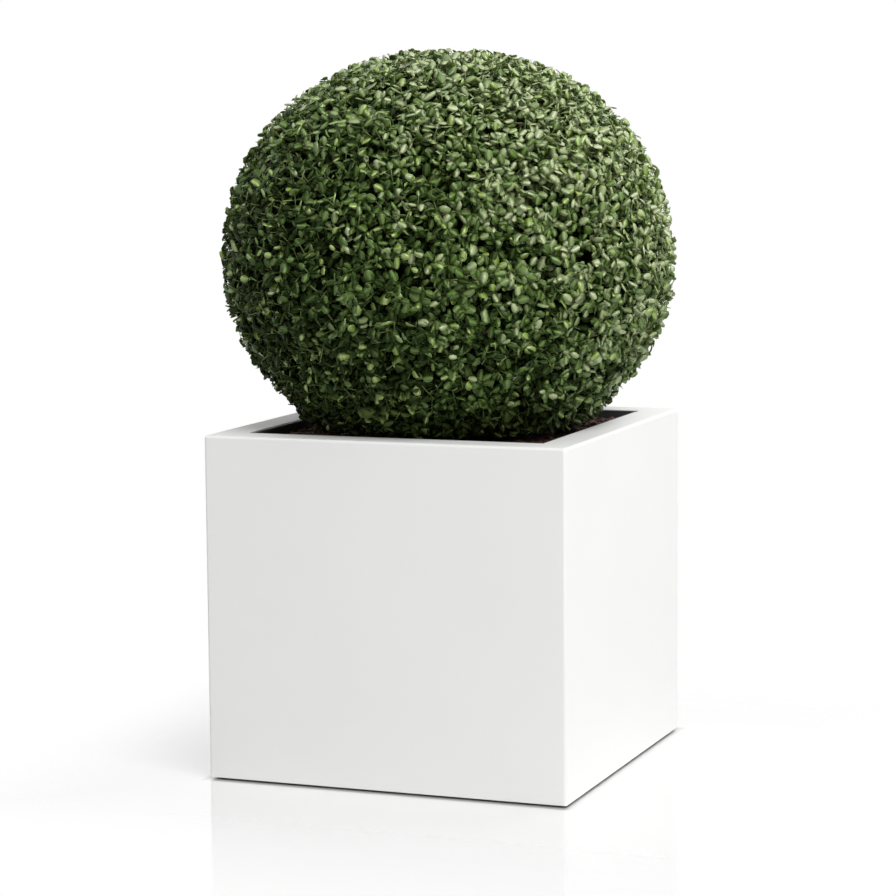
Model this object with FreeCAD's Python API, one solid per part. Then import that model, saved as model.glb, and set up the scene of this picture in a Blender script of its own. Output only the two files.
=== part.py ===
import FreeCAD, Part
import math
import os

from FreeCAD import Vector

# A square fibreglass floor planter with a lift-out liner, planted with a clipped
# evergreen ball. Millimetres, +Z up, origin at the middle of the footprint on the
# floor, front face towards -Y.

# Outer shell: one hand-laid laminate with a white gel coat
shell_width = 500.0
shell_depth = 500.0
planter_height = 460.0
shell_wall = 5.0
shell_edge_radius = 4.0
shell_foot_chamfer = 1.5
shell_inner_radius = 2.0
rim_width = 45.0
rim_thick = 5.0
mouth_corner_radius = 3.0
mouth_edge_radius = 1.0
floor_gap = 3.0
base_recess = 12.0
floor_thick = 5.0

# Timber cores that stiffen the flat rim from below
core_width = 26.0
core_depth = 18.0
core_end_gap = 3.0

# Plywood board bonded on the shell's floor
board_thick = 12.0
board_edge_gap = 4.0
board_corner_radius = 6.0

# Feet and their screws
foot_inset = 60.0
foot_top_radius = 20.0
foot_tread_radius = 17.0
foot_counter_radius = 6.5
foot_counter_depth = 6.5
screw_head_radius = 5.0
screw_head_height = 3.0
screw_shank_radius = 2.1
screw_hole_fit = 0.05
screw_tip_cover = 2.5

# Drain fitting in the middle of the floor
drain_bore_radius = 12.0
drain_barrel_radius = 16.0
drain_hole_fit = 0.5
drain_flange_radius = 25.0
drain_flange_thick = 3.0
drain_gasket_radius = 23.5
drain_gasket_thick = 2.0
drain_nut_flats = 46.0
drain_nut_thick = 7.0
drain_barrel_proud = 1.0
drain_thread_fit = 0.05

# Rubber bung that closes the drain
bung_fit = 0.05
bung_plug_length = 12.0
bung_plug_lead = 1.5
bung_flange_radius = 17.0
bung_flange_thick = 3.0
bung_neck_radius = 4.0
bung_neck_height = 4.0
bung_knob_radius = 8.0
bung_knob_height = 3.0

# Liner: a moulded tub that drops through the mouth
tub_mouth_gap = 1.0
tub_set_down = 1.0
tub_taper = 14.0
tub_wall = 3.0
tub_floor_thick = 4.0
tub_corner_radius = 10.0
tub_stand = 36.0
tub_cup_inset = 45.0
tub_cup_top_radius = 30.0
tub_cup_base_radius = 24.0
tub_cup_wall = 3.0
tub_rib_thick = 3.0
tub_rib_top_drop = 70.0
tub_rib_lead = 6.0
tub_rib_set_in = 0.5
tub_rib_root = 1.5
tub_rib_shares = (-0.62, -0.22, 0.22, 0.62)
tub_drain_radius = 5.0
tub_drain_ring_radius = 60.0
tub_drain_count = 8

# Perforated plate that keeps the soil out of the sump
plate_stand = 20.0
plate_thick = 4.0
plate_edge_gap = 0.8
plate_hole_side = 12.0
plate_hole_pitch = 44.0
plate_hole_margin = 24.0
plate_leg_side = 14.0
plate_leg_every = 2

# Fleece, soil and bark
fleece_thick = 2.0
soft_gap = 0.3
mulch_drop = 12.0
mulch_thick = 30.0

# Root ball
root_set_down = 2.0
root_soil_below = 50.0
root_top_radius = 150.0
root_base_radius = 122.0
root_base_rounding = 30.0
root_rounding_steps = 3
root_sides = 40

# Clipped crown of leaves: an outer curve turned about the stem
crown_radius = 306.0
crown_middle_rise = 210.0
crown_top_rise = 292.0
crown_top_power = 2.17
crown_foot_inset = 26.0
crown_foot_clear = 2.0
crown_mouth_radius = 60.0
crown_leaf_depth = 8.0
crown_curve_steps = 7
crown_sides = 40

# Stem: a short trunk that forks into limbs and side branches
trunk_base_radius = 17.0
trunk_fork_radius = 11.0
trunk_height = 96.0
limb_base_radius = 7.5
limb_tip_radius = 3.0
limb_count = 10
limb_tip_gap = 0.5
limb_low_share = 0.45
limb_lowest_polar_share = 0.62
limb_highest_polar_share = 0.10
twig_base_radius = 3.6
twig_tip_radius = 2.0
twig_start_shares = (0.38, 0.55, 0.70)
twig_turn_degrees = (26.0, -24.0, 15.0)
twig_lift_degrees = (-12.0, 6.0, 17.0)
branch_sides = 8

# Allowances of the modelling itself
cut_over = 10.0
same_place = 0.001

# Levels, worked out from the sizes above
floor_under = floor_gap + base_recess
floor_top = floor_under + floor_thick
board_top = floor_top + board_thick
rim_under = planter_height - rim_thick
inner_width = shell_width - 2 * shell_wall
inner_depth = shell_depth - 2 * shell_wall
mouth_width = shell_width - 2 * rim_width
mouth_depth = shell_depth - 2 * rim_width
drain_seat = board_top + drain_gasket_thick
drain_top = drain_seat + drain_flange_thick
tub_under = board_top + tub_stand
tub_floor = tub_under + tub_floor_thick
tub_top = planter_height - tub_set_down
plate_under = tub_floor + plate_stand
plate_top = plate_under + plate_thick
fleece_top = plate_top + fleece_thick
mulch_top = planter_height - mulch_drop
soil_top = mulch_top - mulch_thick
root_top = mulch_top - root_set_down
root_base = fleece_top + root_soil_below
crown_middle = planter_height + crown_middle_rise
crown_top = crown_middle + crown_top_rise
crown_foot = mulch_top + crown_foot_clear
crown_foot_radius = min(mouth_width, mouth_depth) / 2 - crown_foot_inset


def save(name, shape):
    """Write one piece, and say how many solids it holds and their volume."""
    shape.exportStep("parts/" + name + ".step")
    print(name, len(shape.Solids), round(shape.Volume), shape.isValid())


def at_level(edge, level):
    """True for an edge that lies in the plane of one level."""
    return all(abs(vertex.Z - level) < same_place for vertex in edge.Vertexes)


def is_upright(edge):
    """True for an edge that climbs from one level to another."""
    return abs(edge.Vertexes[0].Z - edge.Vertexes[-1].Z) > same_place


def plain_box(size_x, size_y, low, high):
    """A box centred on the Z axis between two levels."""
    corner = Vector(-size_x / 2, -size_y / 2, low)
    return Part.makeBox(size_x, size_y, high - low, corner)


def rounded_box(size_x, size_y, low, high, radius):
    """A box centred on the Z axis, with its four upright edges rounded."""
    box = plain_box(size_x, size_y, low, high)
    return box.makeFillet(radius, [edge for edge in box.Edges if is_upright(edge)])


def rod(radius, low, high, centre=(0, 0)):
    """A round bar between two levels."""
    return Part.makeCylinder(radius, high - low, Vector(centre[0], centre[1], low))


def turned(points, centre=(0, 0)):
    """Turn an outline of (radius, level) points once about an upright axis."""
    outline = [Vector(radius, 0, level) for radius, level in points]
    face = Part.Face(Part.makePolygon(outline + outline[:1]))
    solid = face.revolve(Vector(), Vector(0, 0, 1), 360)
    solid.translate(Vector(centre[0], centre[1], 0))
    return solid


def ring_place(radius, level, turn):
    """A place at a radius and a level, turned about the Z axis."""
    return Vector(radius * math.cos(turn), radius * math.sin(turn), level)


def faceted(points, sides):
    """A turned form in flat facets, from a closed outline of (radius, level) points."""
    faces = []
    for (radius_a, level_a), (radius_b, level_b) in zip(points, points[1:] + points[:1]):
        for side in range(sides):
            start, end = [2 * math.pi * (side + step) / sides for step in (0, 1)]
            ring = [
                ring_place(radius_a, level_a, start),
                ring_place(radius_a, level_a, end),
                ring_place(radius_b, level_b, end),
                ring_place(radius_b, level_b, start),
            ]
            before = ring[-1:] + ring[:-1]
            apart = [place for place, last in zip(ring, before) if (place - last).Length > same_place]
            if len(apart) > 2:
                faces.append(Part.Face(Part.makePolygon(apart + apart[:1])))
    return Part.makeSolid(Part.makeShell(faces))


def corners(reach_x, reach_y):
    """The four places at equal reach from the middle, by their names."""
    return {
        "front_left": (-reach_x, -reach_y),
        "front_right": (reach_x, -reach_y),
        "back_left": (-reach_x, reach_y),
        "back_right": (reach_x, reach_y),
    }


def outer_shell():
    """Walls, raised floor and flat returned rim in one skin."""
    body = plain_box(shell_width, shell_depth, floor_gap, planter_height)
    shown = [edge for edge in body.Edges if is_upright(edge) or at_level(edge, planter_height)]
    body = body.makeFillet(shell_edge_radius, shown)
    lowest = [edge for edge in body.Edges if at_level(edge, floor_gap)]
    body = body.makeChamfer(shell_foot_chamfer, lowest)
    body = body.cut(rounded_box(inner_width, inner_depth, floor_top, rim_under, shell_inner_radius))
    below = floor_gap - cut_over
    body = body.cut(rounded_box(inner_width, inner_depth, below, floor_under, shell_inner_radius))
    above = planter_height + cut_over
    opening = rounded_box(mouth_width, mouth_depth, rim_under - shell_wall, above, mouth_corner_radius)
    body = body.cut(opening)
    mouth = [edge for edge in body.Edges if at_level(edge, planter_height) and in_mouth(edge)]
    body = body.makeFillet(mouth_edge_radius, mouth)
    body = body.cut(rod(drain_barrel_radius + drain_hole_fit, floor_gap, board_top))
    for centre in foot_places().values():
        body = body.cut(rod(screw_shank_radius + screw_hole_fit, floor_gap, board_top, centre))
    return body


def in_mouth(edge):
    """True for an edge that goes round the planter's mouth."""
    box = edge.BoundBox
    reach_x = max(abs(box.XMin), abs(box.XMax))
    reach_y = max(abs(box.YMin), abs(box.YMax))
    return reach_x < mouth_width / 2 + same_place and reach_y < mouth_depth / 2 + same_place


def rim_cores():
    """Four battens under the rim, against the walls."""
    low = rim_under - core_depth
    long_side = inner_width - 2 * core_end_gap
    short_side = inner_depth - 2 * (core_width + core_end_gap)
    along_x = plain_box(long_side, core_width, low, rim_under)
    along_y = plain_box(core_width, short_side, low, rim_under)
    out_x = (inner_width - core_width) / 2
    out_y = (inner_depth - core_width) / 2
    return {
        "rim_core_front": along_x.translated(Vector(0, -out_y, 0)),
        "rim_core_back": along_x.translated(Vector(0, out_y, 0)),
        "rim_core_left": along_y.translated(Vector(-out_x, 0, 0)),
        "rim_core_right": along_y.translated(Vector(out_x, 0, 0)),
    }


def base_board():
    """Board on the shell's floor that takes the foot screws."""
    size_x = inner_width - 2 * board_edge_gap
    size_y = inner_depth - 2 * board_edge_gap
    board = rounded_box(size_x, size_y, floor_top, board_top, board_corner_radius)
    board = board.cut(rod(drain_barrel_radius + drain_hole_fit, floor_gap, board_top + cut_over))
    for centre in foot_places().values():
        hole_top = board_top - screw_tip_cover + screw_hole_fit
        board = board.cut(rod(screw_shank_radius + screw_hole_fit, floor_gap, hole_top, centre))
    return board


def foot_places():
    """Where the four feet stand."""
    return corners(shell_width / 2 - foot_inset, shell_depth / 2 - foot_inset)


def foot(centre):
    """A tapered rubber foot, counterbored for its screw."""
    bore = screw_shank_radius + screw_hole_fit
    points = [
        (bore, foot_counter_depth),
        (foot_counter_radius, foot_counter_depth),
        (foot_counter_radius, 0),
        (foot_tread_radius, 0),
        (foot_top_radius, floor_under),
        (bore, floor_under),
    ]
    return turned(points, centre)


def foot_screw(centre):
    """A pan-head screw through foot, floor and board."""
    head_low = foot_counter_depth - screw_head_height
    tip = board_top - screw_tip_cover
    points = [
        (0, head_low),
        (screw_head_radius - screw_head_height / 3, head_low),
        (screw_head_radius, head_low + screw_head_height / 3),
        (screw_head_radius, foot_counter_depth),
        (screw_shank_radius, foot_counter_depth),
        (screw_shank_radius, tip - screw_shank_radius),
        (0, tip),
    ]
    return turned(points, centre)


def drain_bush():
    """Flanged tube through board and floor."""
    low = floor_under - drain_nut_thick - drain_barrel_proud
    points = [
        (drain_bore_radius, low),
        (drain_barrel_radius, low),
        (drain_barrel_radius, drain_seat),
        (drain_flange_radius, drain_seat),
        (drain_flange_radius, drain_top),
        (drain_bore_radius, drain_top),
    ]
    return turned(points)


def drain_gasket():
    """Flat ring between the flange and the board."""
    ring = rod(drain_gasket_radius, board_top, drain_seat)
    return ring.cut(rod(drain_barrel_radius + drain_hole_fit, floor_gap, planter_height))


def drain_nut():
    """Six-sided back nut under the floor."""
    reach = drain_nut_flats / 2 / math.cos(math.radians(30))
    low = floor_under - drain_nut_thick
    points = [ring_place(reach, low, math.radians(60 * side)) for side in range(7)]
    nut = Part.Face(Part.makePolygon(points)).extrude(Vector(0, 0, drain_nut_thick))
    return nut.cut(rod(drain_barrel_radius + drain_thread_fit, 0, planter_height))


def drain_bung():
    """Rubber bung with a knob to pull it up by."""
    plug_radius = drain_bore_radius - bung_fit
    flange_top = drain_top + bung_flange_thick
    knob_low = flange_top + bung_neck_height
    points = [
        (0, drain_top - bung_plug_length),
        (plug_radius - bung_plug_lead, drain_top - bung_plug_length),
        (plug_radius, drain_top - bung_plug_length + bung_plug_lead),
        (plug_radius, drain_top),
        (bung_flange_radius, drain_top),
        (bung_flange_radius, flange_top),
        (bung_neck_radius, flange_top),
        (bung_neck_radius, knob_low),
        (bung_knob_radius, knob_low),
        (bung_knob_radius, knob_low + bung_knob_height),
        (0, knob_low + bung_knob_height),
    ]
    return turned(points)


def tub_inset(level):
    """How far the tub's outer face stands in from the mouth at a level."""
    return tub_mouth_gap + tub_taper * (tub_top - level) / (tub_top - tub_under)


def tub_outline(level, inset):
    """The tub's rounded square at a level, drawn in by an inset."""
    half_x = mouth_width / 2 - tub_inset(level) - inset
    half_y = mouth_depth / 2 - tub_inset(level) - inset
    round_off = tub_corner_radius - inset
    diagonal = round_off * (1 - math.sqrt(0.5))
    edges = []
    quarter = [(1, 1), (-1, 1), (-1, -1), (1, -1)]
    for turn, (sign_x, sign_y) in enumerate(quarter):
        on_x = Vector(sign_x * half_x, sign_y * (half_y - round_off), level)
        on_y = Vector(sign_x * (half_x - round_off), sign_y * half_y, level)
        middle = Vector(sign_x * (half_x - diagonal), sign_y * (half_y - diagonal), level)
        start, end = (on_x, on_y) if turn % 2 == 0 else (on_y, on_x)
        edges.append(Part.Arc(start, middle, end).toShape())
        next_x, next_y = quarter[(turn + 1) % 4]
        if turn % 2 == 0:
            after = Vector(next_x * (half_x - round_off), next_y * half_y, level)
        else:
            after = Vector(next_x * half_x, next_y * (half_y - round_off), level)
        edges.append(Part.LineSegment(end, after).toShape())
    return Part.Wire(edges)


def tub_fill(low, high, inset):
    """The tapered block that fills the tub's shape between two levels."""
    return Part.makeLoft([tub_outline(low, inset), tub_outline(high, inset)], True, True)


def tub_rib():
    """One upright rib of the +X side: its outer edge guides the tub in the mouth."""
    top = tub_top - tub_rib_top_drop
    outside = mouth_width / 2 - tub_mouth_gap - tub_rib_set_in
    wall_low = mouth_width / 2 - tub_inset(tub_under) - tub_rib_root
    wall_high = mouth_width / 2 - tub_inset(top) - tub_rib_root
    points = [
        Vector(wall_low, -tub_rib_thick / 2, tub_under),
        Vector(outside - tub_rib_lead, -tub_rib_thick / 2, tub_under),
        Vector(outside, -tub_rib_thick / 2, tub_under + 2 * tub_rib_lead),
        Vector(outside, -tub_rib_thick / 2, top - 2 * tub_rib_lead),
        Vector(wall_high, -tub_rib_thick / 2, top),
    ]
    face = Part.Face(Part.makePolygon(points + points[:1]))
    return face.extrude(Vector(0, tub_rib_thick, 0))


def tub_ribs():
    """The ribs of all four sides."""
    ribs = []
    for quarter in range(4):
        along = mouth_depth if quarter % 2 == 0 else mouth_width
        across = mouth_width if quarter % 2 == 0 else mouth_depth
        for share in tub_rib_shares:
            rib = tub_rib().translated(Vector((across - mouth_width) / 2, share * along / 2, 0))
            rib.rotate(Vector(), Vector(0, 0, 1), 90 * quarter)
            ribs.append(rib)
    return ribs


def cup_places():
    """Where the tub's four cup feet stand."""
    half_x = mouth_width / 2 - tub_inset(tub_under)
    half_y = mouth_depth / 2 - tub_inset(tub_under)
    return corners(half_x - tub_cup_inset, half_y - tub_cup_inset)


def cup(radius_low, radius_high, low, high, centre):
    """A tapered round plug between two levels."""
    place = Vector(centre[0], centre[1], low)
    return Part.makeCone(radius_low, radius_high, high - low, place)


def liner_tub():
    """Tapered tub with guide ribs, cup feet and a ring of drain holes."""
    body = tub_fill(tub_under, tub_top, 0)
    outside = [cup(tub_cup_base_radius, tub_cup_top_radius, board_top, tub_under, centre)
               for centre in cup_places().values()]
    body = body.multiFuse(outside + tub_ribs())
    body = body.cut(tub_fill(tub_floor, tub_top + cut_over, tub_wall))
    slope = (tub_cup_top_radius - tub_cup_base_radius) / (tub_under - board_top)
    for centre in cup_places().values():
        low = board_top + tub_cup_wall
        radius_low = tub_cup_base_radius + slope * tub_cup_wall - tub_cup_wall
        radius_high = tub_cup_top_radius + slope * tub_floor_thick - tub_cup_wall
        body = body.cut(cup(radius_low, radius_high, low, tub_floor, centre))
    for hole in range(tub_drain_count):
        angle = 2 * math.pi * hole / tub_drain_count
        centre = ring_place(tub_drain_ring_radius, 0, angle)
        body = body.cut(rod(tub_drain_radius, board_top, plate_under, centre))
    return body.removeSplitter()


def post(side, low, high, centre):
    """A square post between two levels."""
    return plain_box(side, side, low, high).translated(Vector(centre[0], centre[1], 0))


def plate_places(mouth):
    """Places of the plate's holes along one side of the mouth, and of its legs between them."""
    side = mouth - 2 * (tub_inset(plate_under) + tub_wall + plate_edge_gap)
    rows = int((side - 2 * plate_hole_margin - plate_hole_side) / plate_hole_pitch) + 1
    holes = [(row - (rows - 1) / 2) * plate_hole_pitch for row in range(rows)]
    legs = [(step - rows / 2) * plate_hole_pitch for step in range(rows + 1)
            if step % plate_leg_every == 0 or step == rows]
    return holes, legs


def drainage_plate():
    """Plate with rows of square holes, on short legs."""
    body = tub_fill(plate_under, plate_top, tub_wall + plate_edge_gap)
    holes_x, legs_x = plate_places(mouth_width)
    holes_y, legs_y = plate_places(mouth_depth)
    holes = [post(plate_hole_side, plate_under - cut_over, plate_top + cut_over, (x, y))
             for x in holes_x for y in holes_y]
    legs = [post(plate_leg_side, tub_floor, plate_under, (x, y))
            for x in legs_x for y in legs_y]
    return body.cut(Part.makeCompound(holes)).multiFuse(legs)


def root_fleece():
    """Fleece that lies on the plate."""
    return tub_fill(plate_top, fleece_top, tub_wall + soft_gap)


def root_shape(gap, top):
    """The root ball's tapered form, grown by a gap, up to a level."""
    slope = (root_top_radius - root_base_radius) / (root_top - root_base)
    points = [(0, root_base - gap)]
    for step in range(root_rounding_steps + 1):
        turn = math.pi / 2 * step / root_rounding_steps
        level = root_base - gap + root_base_rounding * (1 - math.cos(turn))
        side = root_base_radius + gap + slope * (level - root_base)
        points.append((side - root_base_rounding * (1 - math.sin(turn)), level))
    points.append((root_top_radius + gap + slope * (top - root_top), top))
    points.append((0, top))
    return faceted(points, root_sides)


def soil():
    """Soil round and under the root ball."""
    body = tub_fill(fleece_top, soil_top, tub_wall + soft_gap)
    return body.cut(root_shape(soft_gap, planter_height))


def bark_mulch():
    """Bark that covers the soil up to the root ball's edge."""
    body = tub_fill(soil_top, mulch_top, tub_wall + soft_gap)
    return body.cut(root_shape(soft_gap, planter_height))


def crown_reach(level, inset):
    """The crown's radius at a level, drawn in by an inset."""
    if level > crown_middle:
        share = min(1, (level - crown_middle) / (crown_top_rise - inset))
        return (crown_radius - inset) * (1 - share ** crown_top_power) ** (1 / crown_top_power)
    share = (crown_middle - level) / (crown_middle - crown_foot)
    return crown_radius - inset - (crown_radius - crown_foot_radius) * share ** 2


def crown_line(low, inset):
    """The crown's outline from a low level up to its top, as (radius, level) points."""
    points = []
    for step in range(crown_curve_steps + 1):
        level = low + (crown_middle - low) * step / crown_curve_steps
        points.append((crown_reach(level, inset), level))
    for step in range(1, crown_curve_steps):
        turn = math.pi / 2 * step / crown_curve_steps
        level = crown_middle + (crown_top_rise - inset) * math.sin(turn) ** (2 / crown_top_power)
        points.append((crown_reach(level, inset), level))
    points.append((0, crown_top - inset))
    return points


def crown():
    """Closed layer of leaves, hollow inside and open below for the trunk."""
    inner_low = crown_foot + crown_leaf_depth
    outer = crown_line(crown_foot, 0)
    inner = crown_line(inner_low, crown_leaf_depth)
    mouth = [(crown_mouth_radius, inner_low), (crown_mouth_radius, crown_foot)]
    return faceted(outer + inner[::-1] + mouth, crown_sides)


def leaf_wall(level):
    """Radius of the leaf layer's inner side at a level, at the corners of its facets."""
    line = crown_line(crown_foot + crown_leaf_depth, crown_leaf_depth)
    for (radius_a, level_a), (radius_b, level_b) in zip(line, line[1:]):
        if level_a <= level <= level_b:
            return radius_a + (radius_b - radius_a) * (level - level_a) / (level_b - level_a)
    return 0


def in_leaves(place):
    """True for a place within the leaf layer's inner side, with the tip gap left outside it."""
    outwards = (place - Vector(0, 0, crown_middle)).normalize()
    edge = place + outwards * limb_tip_gap
    facet = 2 * math.pi / crown_sides
    off_middle = math.atan2(edge.y, edge.x) % facet - facet / 2
    reach = leaf_wall(edge.z) * math.cos(facet / 2) / math.cos(off_middle)
    return math.hypot(edge.x, edge.y) < reach


def crown_point(azimuth, polar):
    """The place where a line from the crown's middle meets its surface."""
    ray = ring_place(math.sin(polar), math.cos(polar), azimuth)
    low = 0
    high = crown_radius + crown_top_rise
    while high - low > same_place:
        reach = (low + high) / 2
        if in_leaves(Vector(0, 0, crown_middle) + ray * reach):
            low = reach
        else:
            high = reach
    return Vector(0, 0, crown_middle) + ray * low


def stick(base_radius, tip_radius, length, start, heading):
    """A tapered stick in flat facets, from a place along a heading."""
    body = faceted([(0, 0), (base_radius, 0), (tip_radius, length), (0, length)], branch_sides)
    body.Placement = FreeCAD.Placement(start, FreeCAD.Rotation(Vector(0, 0, 1), heading))
    return body


def branch(start, aim, base_radius, tip_radius):
    """A tapered branch towards a place, as long as its flat tip stays inside the leaves."""
    heading = (aim - start).normalize()
    across = heading.cross(Vector(0, 0, 1)).normalize()
    beside = heading.cross(across)
    ring = [(across * math.cos(turn) + beside * math.sin(turn)) * tip_radius
            for turn in (2 * math.pi * side / branch_sides for side in range(branch_sides))]
    low = 0
    high = crown_radius + crown_top_rise
    while high - low > same_place:
        reach = (low + high) / 2
        if all(in_leaves(start + heading * reach + offset) for offset in ring):
            low = reach
        else:
            high = reach
    return stick(base_radius, tip_radius, low, start, heading)


def stem():
    """Trunk, limbs and side branches, grown together."""
    fork = root_top + trunk_height
    foot_place = Vector(0, 0, root_top)
    trunk = stick(trunk_base_radius, trunk_fork_radius, trunk_height, foot_place, Vector(0, 0, 1))
    members = []
    golden_turn = math.pi * (3 - math.sqrt(5))
    for number in range(limb_count):
        share = number / (limb_count - 1)
        polar = math.pi * (limb_lowest_polar_share
                           + (limb_highest_polar_share - limb_lowest_polar_share) * share)
        azimuth = golden_turn * number
        start = Vector(0, 0, fork - trunk_height * (1 - limb_low_share) * (1 - share) - limb_base_radius)
        aim = crown_point(azimuth, polar)
        members.append(branch(start, aim, limb_base_radius, limb_tip_radius))
        for along, turn, lift in zip(twig_start_shares, twig_turn_degrees, twig_lift_degrees):
            leave = start + (aim - start) * along
            side_aim = crown_point(azimuth + math.radians(turn), polar - math.radians(lift))
            members.append(branch(leave, side_aim, twig_base_radius, twig_tip_radius))
    return trunk.multiFuse(members)


def main():
    """Build every piece and write it."""
    os.makedirs("parts", exist_ok=True)
    save("outer_shell", outer_shell())
    for name, batten in rim_cores().items():
        save(name, batten)
    save("base_board", base_board())
    for name, centre in foot_places().items():
        save("foot_" + name, foot(centre))
    save("foot_screws", Part.makeCompound([foot_screw(centre) for centre in foot_places().values()]))
    save("drain_bush", drain_bush())
    save("drain_gasket", drain_gasket())
    save("drain_nut", drain_nut())
    save("drain_bung", drain_bung())
    save("liner_tub", liner_tub())
    save("drainage_plate", drainage_plate())
    save("root_fleece", root_fleece())
    save("soil", soil())
    save("bark_mulch", bark_mulch())
    save("root_ball", root_shape(0, root_top))
    save("stem", stem())
    save("crown", crown())


main()
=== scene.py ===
import math
import random

import bmesh
import bpy
import numpy as np
from mathutils import Matrix, Vector, noise


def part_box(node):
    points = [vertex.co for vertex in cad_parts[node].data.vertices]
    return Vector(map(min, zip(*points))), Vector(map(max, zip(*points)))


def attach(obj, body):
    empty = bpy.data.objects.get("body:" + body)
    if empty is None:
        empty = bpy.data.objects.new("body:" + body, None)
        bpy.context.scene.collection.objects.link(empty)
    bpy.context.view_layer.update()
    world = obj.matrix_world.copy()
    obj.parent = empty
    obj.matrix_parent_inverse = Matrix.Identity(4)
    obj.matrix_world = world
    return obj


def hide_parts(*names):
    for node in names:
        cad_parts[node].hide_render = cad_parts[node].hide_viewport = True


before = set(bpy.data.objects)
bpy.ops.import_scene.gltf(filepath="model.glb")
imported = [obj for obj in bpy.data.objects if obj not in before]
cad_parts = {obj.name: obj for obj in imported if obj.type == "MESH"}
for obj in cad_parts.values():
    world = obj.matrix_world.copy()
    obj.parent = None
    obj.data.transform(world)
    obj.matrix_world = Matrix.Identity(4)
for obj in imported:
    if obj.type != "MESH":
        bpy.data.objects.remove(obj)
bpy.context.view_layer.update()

bl_info = {
    "name": "Planted Fibreglass Planter",
    "version": (1, 0, 0),
    "blender": (4, 5, 0),
    "location": "View3D > Sidebar > Planter",
    "description": "Dresses a square fibreglass planter with its liner, bark and clipped boxwood ball",
    "category": "Object",
}

MM = 0.001

SHELL_LOW, SHELL_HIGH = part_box("outer_shell")
_, BARK_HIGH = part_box("bark_mulch")
_, ROOT_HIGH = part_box("root_ball")
CROWN_LOW, CROWN_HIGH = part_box("crown")
FLEECE_LOW, FLEECE_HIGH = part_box("root_fleece")


def linear(hex_colour):
    """An sRGB hex colour as linear red, green and blue."""
    values = [int(hex_colour[place:place + 2], 16) / 255 for place in (1, 3, 5)]
    return tuple(v / 12.92 if v <= 0.04045 else ((v + 0.055) / 1.055) ** 2.4 for v in values)


def colour_setting(name, description, hex_colour):
    """A colour that a user can change."""
    return bpy.props.FloatVectorProperty(
        name=name, description=description, subtype="COLOR", size=3, min=0, max=1,
        default=linear(hex_colour))


def length_setting(name, description, default):
    """A length that a user can change."""
    return bpy.props.FloatProperty(
        name=name, description=description, unit="LENGTH", subtype="DISTANCE", precision=4, min=0,
        default=default)


def number_setting(name, description, default, **details):
    """A number that a user can change."""
    return bpy.props.FloatProperty(name=name, description=description, default=default, **details)


def count_setting(name, description, default):
    """A count that a user can change."""
    return bpy.props.IntProperty(name=name, description=description, min=1, default=default)


def place_setting(name, description, default):
    """A place that a user can change."""
    return bpy.props.FloatVectorProperty(
        name=name, description=description, subtype="TRANSLATION", size=3, default=default)


class PlanterShellSettings(bpy.types.PropertyGroup):
    """Sizes and colours of the fibreglass shell."""
    rim_width: length_setting("Rim width", "Width of the flat returned rim", 45 * MM)
    rim_thickness: length_setting("Rim thickness", "Thickness of the rim's laminate", 5 * MM)
    wall: length_setting("Wall", "Thickness of the walls", 5 * MM)
    edge_radius: length_setting("Edge radius", "Rounding of the outer edges", 4 * MM)
    mouth_radius: length_setting("Mouth radius", "Rounding of the rim's inner edge", 1 * MM)
    foot_radius: length_setting("Foot radius", "Rounding of the walls' lower edge", 1.5 * MM)
    recess: length_setting("Recess", "Height of the floor above the walls' lower edge", 12 * MM)
    floor: length_setting("Floor", "Thickness of the floor", 5 * MM)
    drain_radius: length_setting("Drain hole", "Radius of the hole for the drain's barrel", 16.5 * MM)
    gel_coat: colour_setting("Gel coat", "Colour of the white gel coat", "#EDEDEC")


class PlanterLinerSettings(bpy.types.PropertyGroup):
    """Colours and counts inside the liner."""
    tub: colour_setting("Liner", "Colour of the moulded liner", "#48484A")
    compost: colour_setting("Compost", "Colour of the moist compost", "#2A2019")
    bark_dark: colour_setting("Dark bark", "Colour of weathered bark chips", "#2A1B15")
    bark_light: colour_setting("Light bark", "Colour of freshly broken bark chips", "#5E3826")
    chip_length: length_setting("Chip length", "Usual length of a bark chip", 17 * MM)
    chip_count: count_setting("Chips", "How many bark chips lie on the bed", 1500)
    seed: bpy.props.IntProperty(name="Seed", description="Start of the random draws", default=11)


class PlanterCrownSettings(bpy.types.PropertyGroup):
    """Sizes, counts and colours of the clipped ball."""
    leaf_length: length_setting("Leaf length", "Length of a full-grown leaf", 19 * MM)
    leaf_width: length_setting("Leaf width", "Width of a full-grown leaf", 13 * MM)
    sprig_length: length_setting("Sprig length", "Length of a leafy shoot tip", 27 * MM)
    trim: length_setting("Trim", "How far a leaf may stand out past the clipped outline", 4 * MM)
    sprig_count: count_setting("Sprigs", "How many leafy shoot tips make the ball", 5800)
    foot_count: count_setting("Foot sprigs", "How many shoot tips hang below the ball", 1100)
    twig_count: count_setting("Twigs", "How many bare twigs show between the leaves", 380)
    # Leaves that face this direction get a paler tone: painted light on the side the lamps come from
    painted_light_side: bpy.props.FloatVectorProperty(
        name="Sun", description="Direction of the side with paler leaves", subtype="DIRECTION", size=3,
        default=(0.75, 0.26, 0.75))
    # The darkest leaf colour stands for old leaves and also for painted shade on the shaded side and deep in
    # the ball
    old_and_shaded_leaf: colour_setting("Old leaf", "Colour of the darkest leaves", "#182B03")
    full_leaf: colour_setting("Full leaf", "Colour of full-grown leaves", "#4C6C16")
    # This pale colour is a painted sheen for leaves that face the lamps
    painted_sheen_leaf: colour_setting("Sunlit leaf", "Colour of leaves in full light, pale with wax", "#A6B280")
    young_leaf: colour_setting("Young leaf", "Colour of this year's leaves", "#78941E")
    shoot: colour_setting("Shoot", "Colour of green shoots", "#66783A")
    twig: colour_setting("Twig", "Colour of woody twigs", "#3A3022")
    seed: bpy.props.IntProperty(name="Seed", description="Start of the random draws", default=5)


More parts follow.
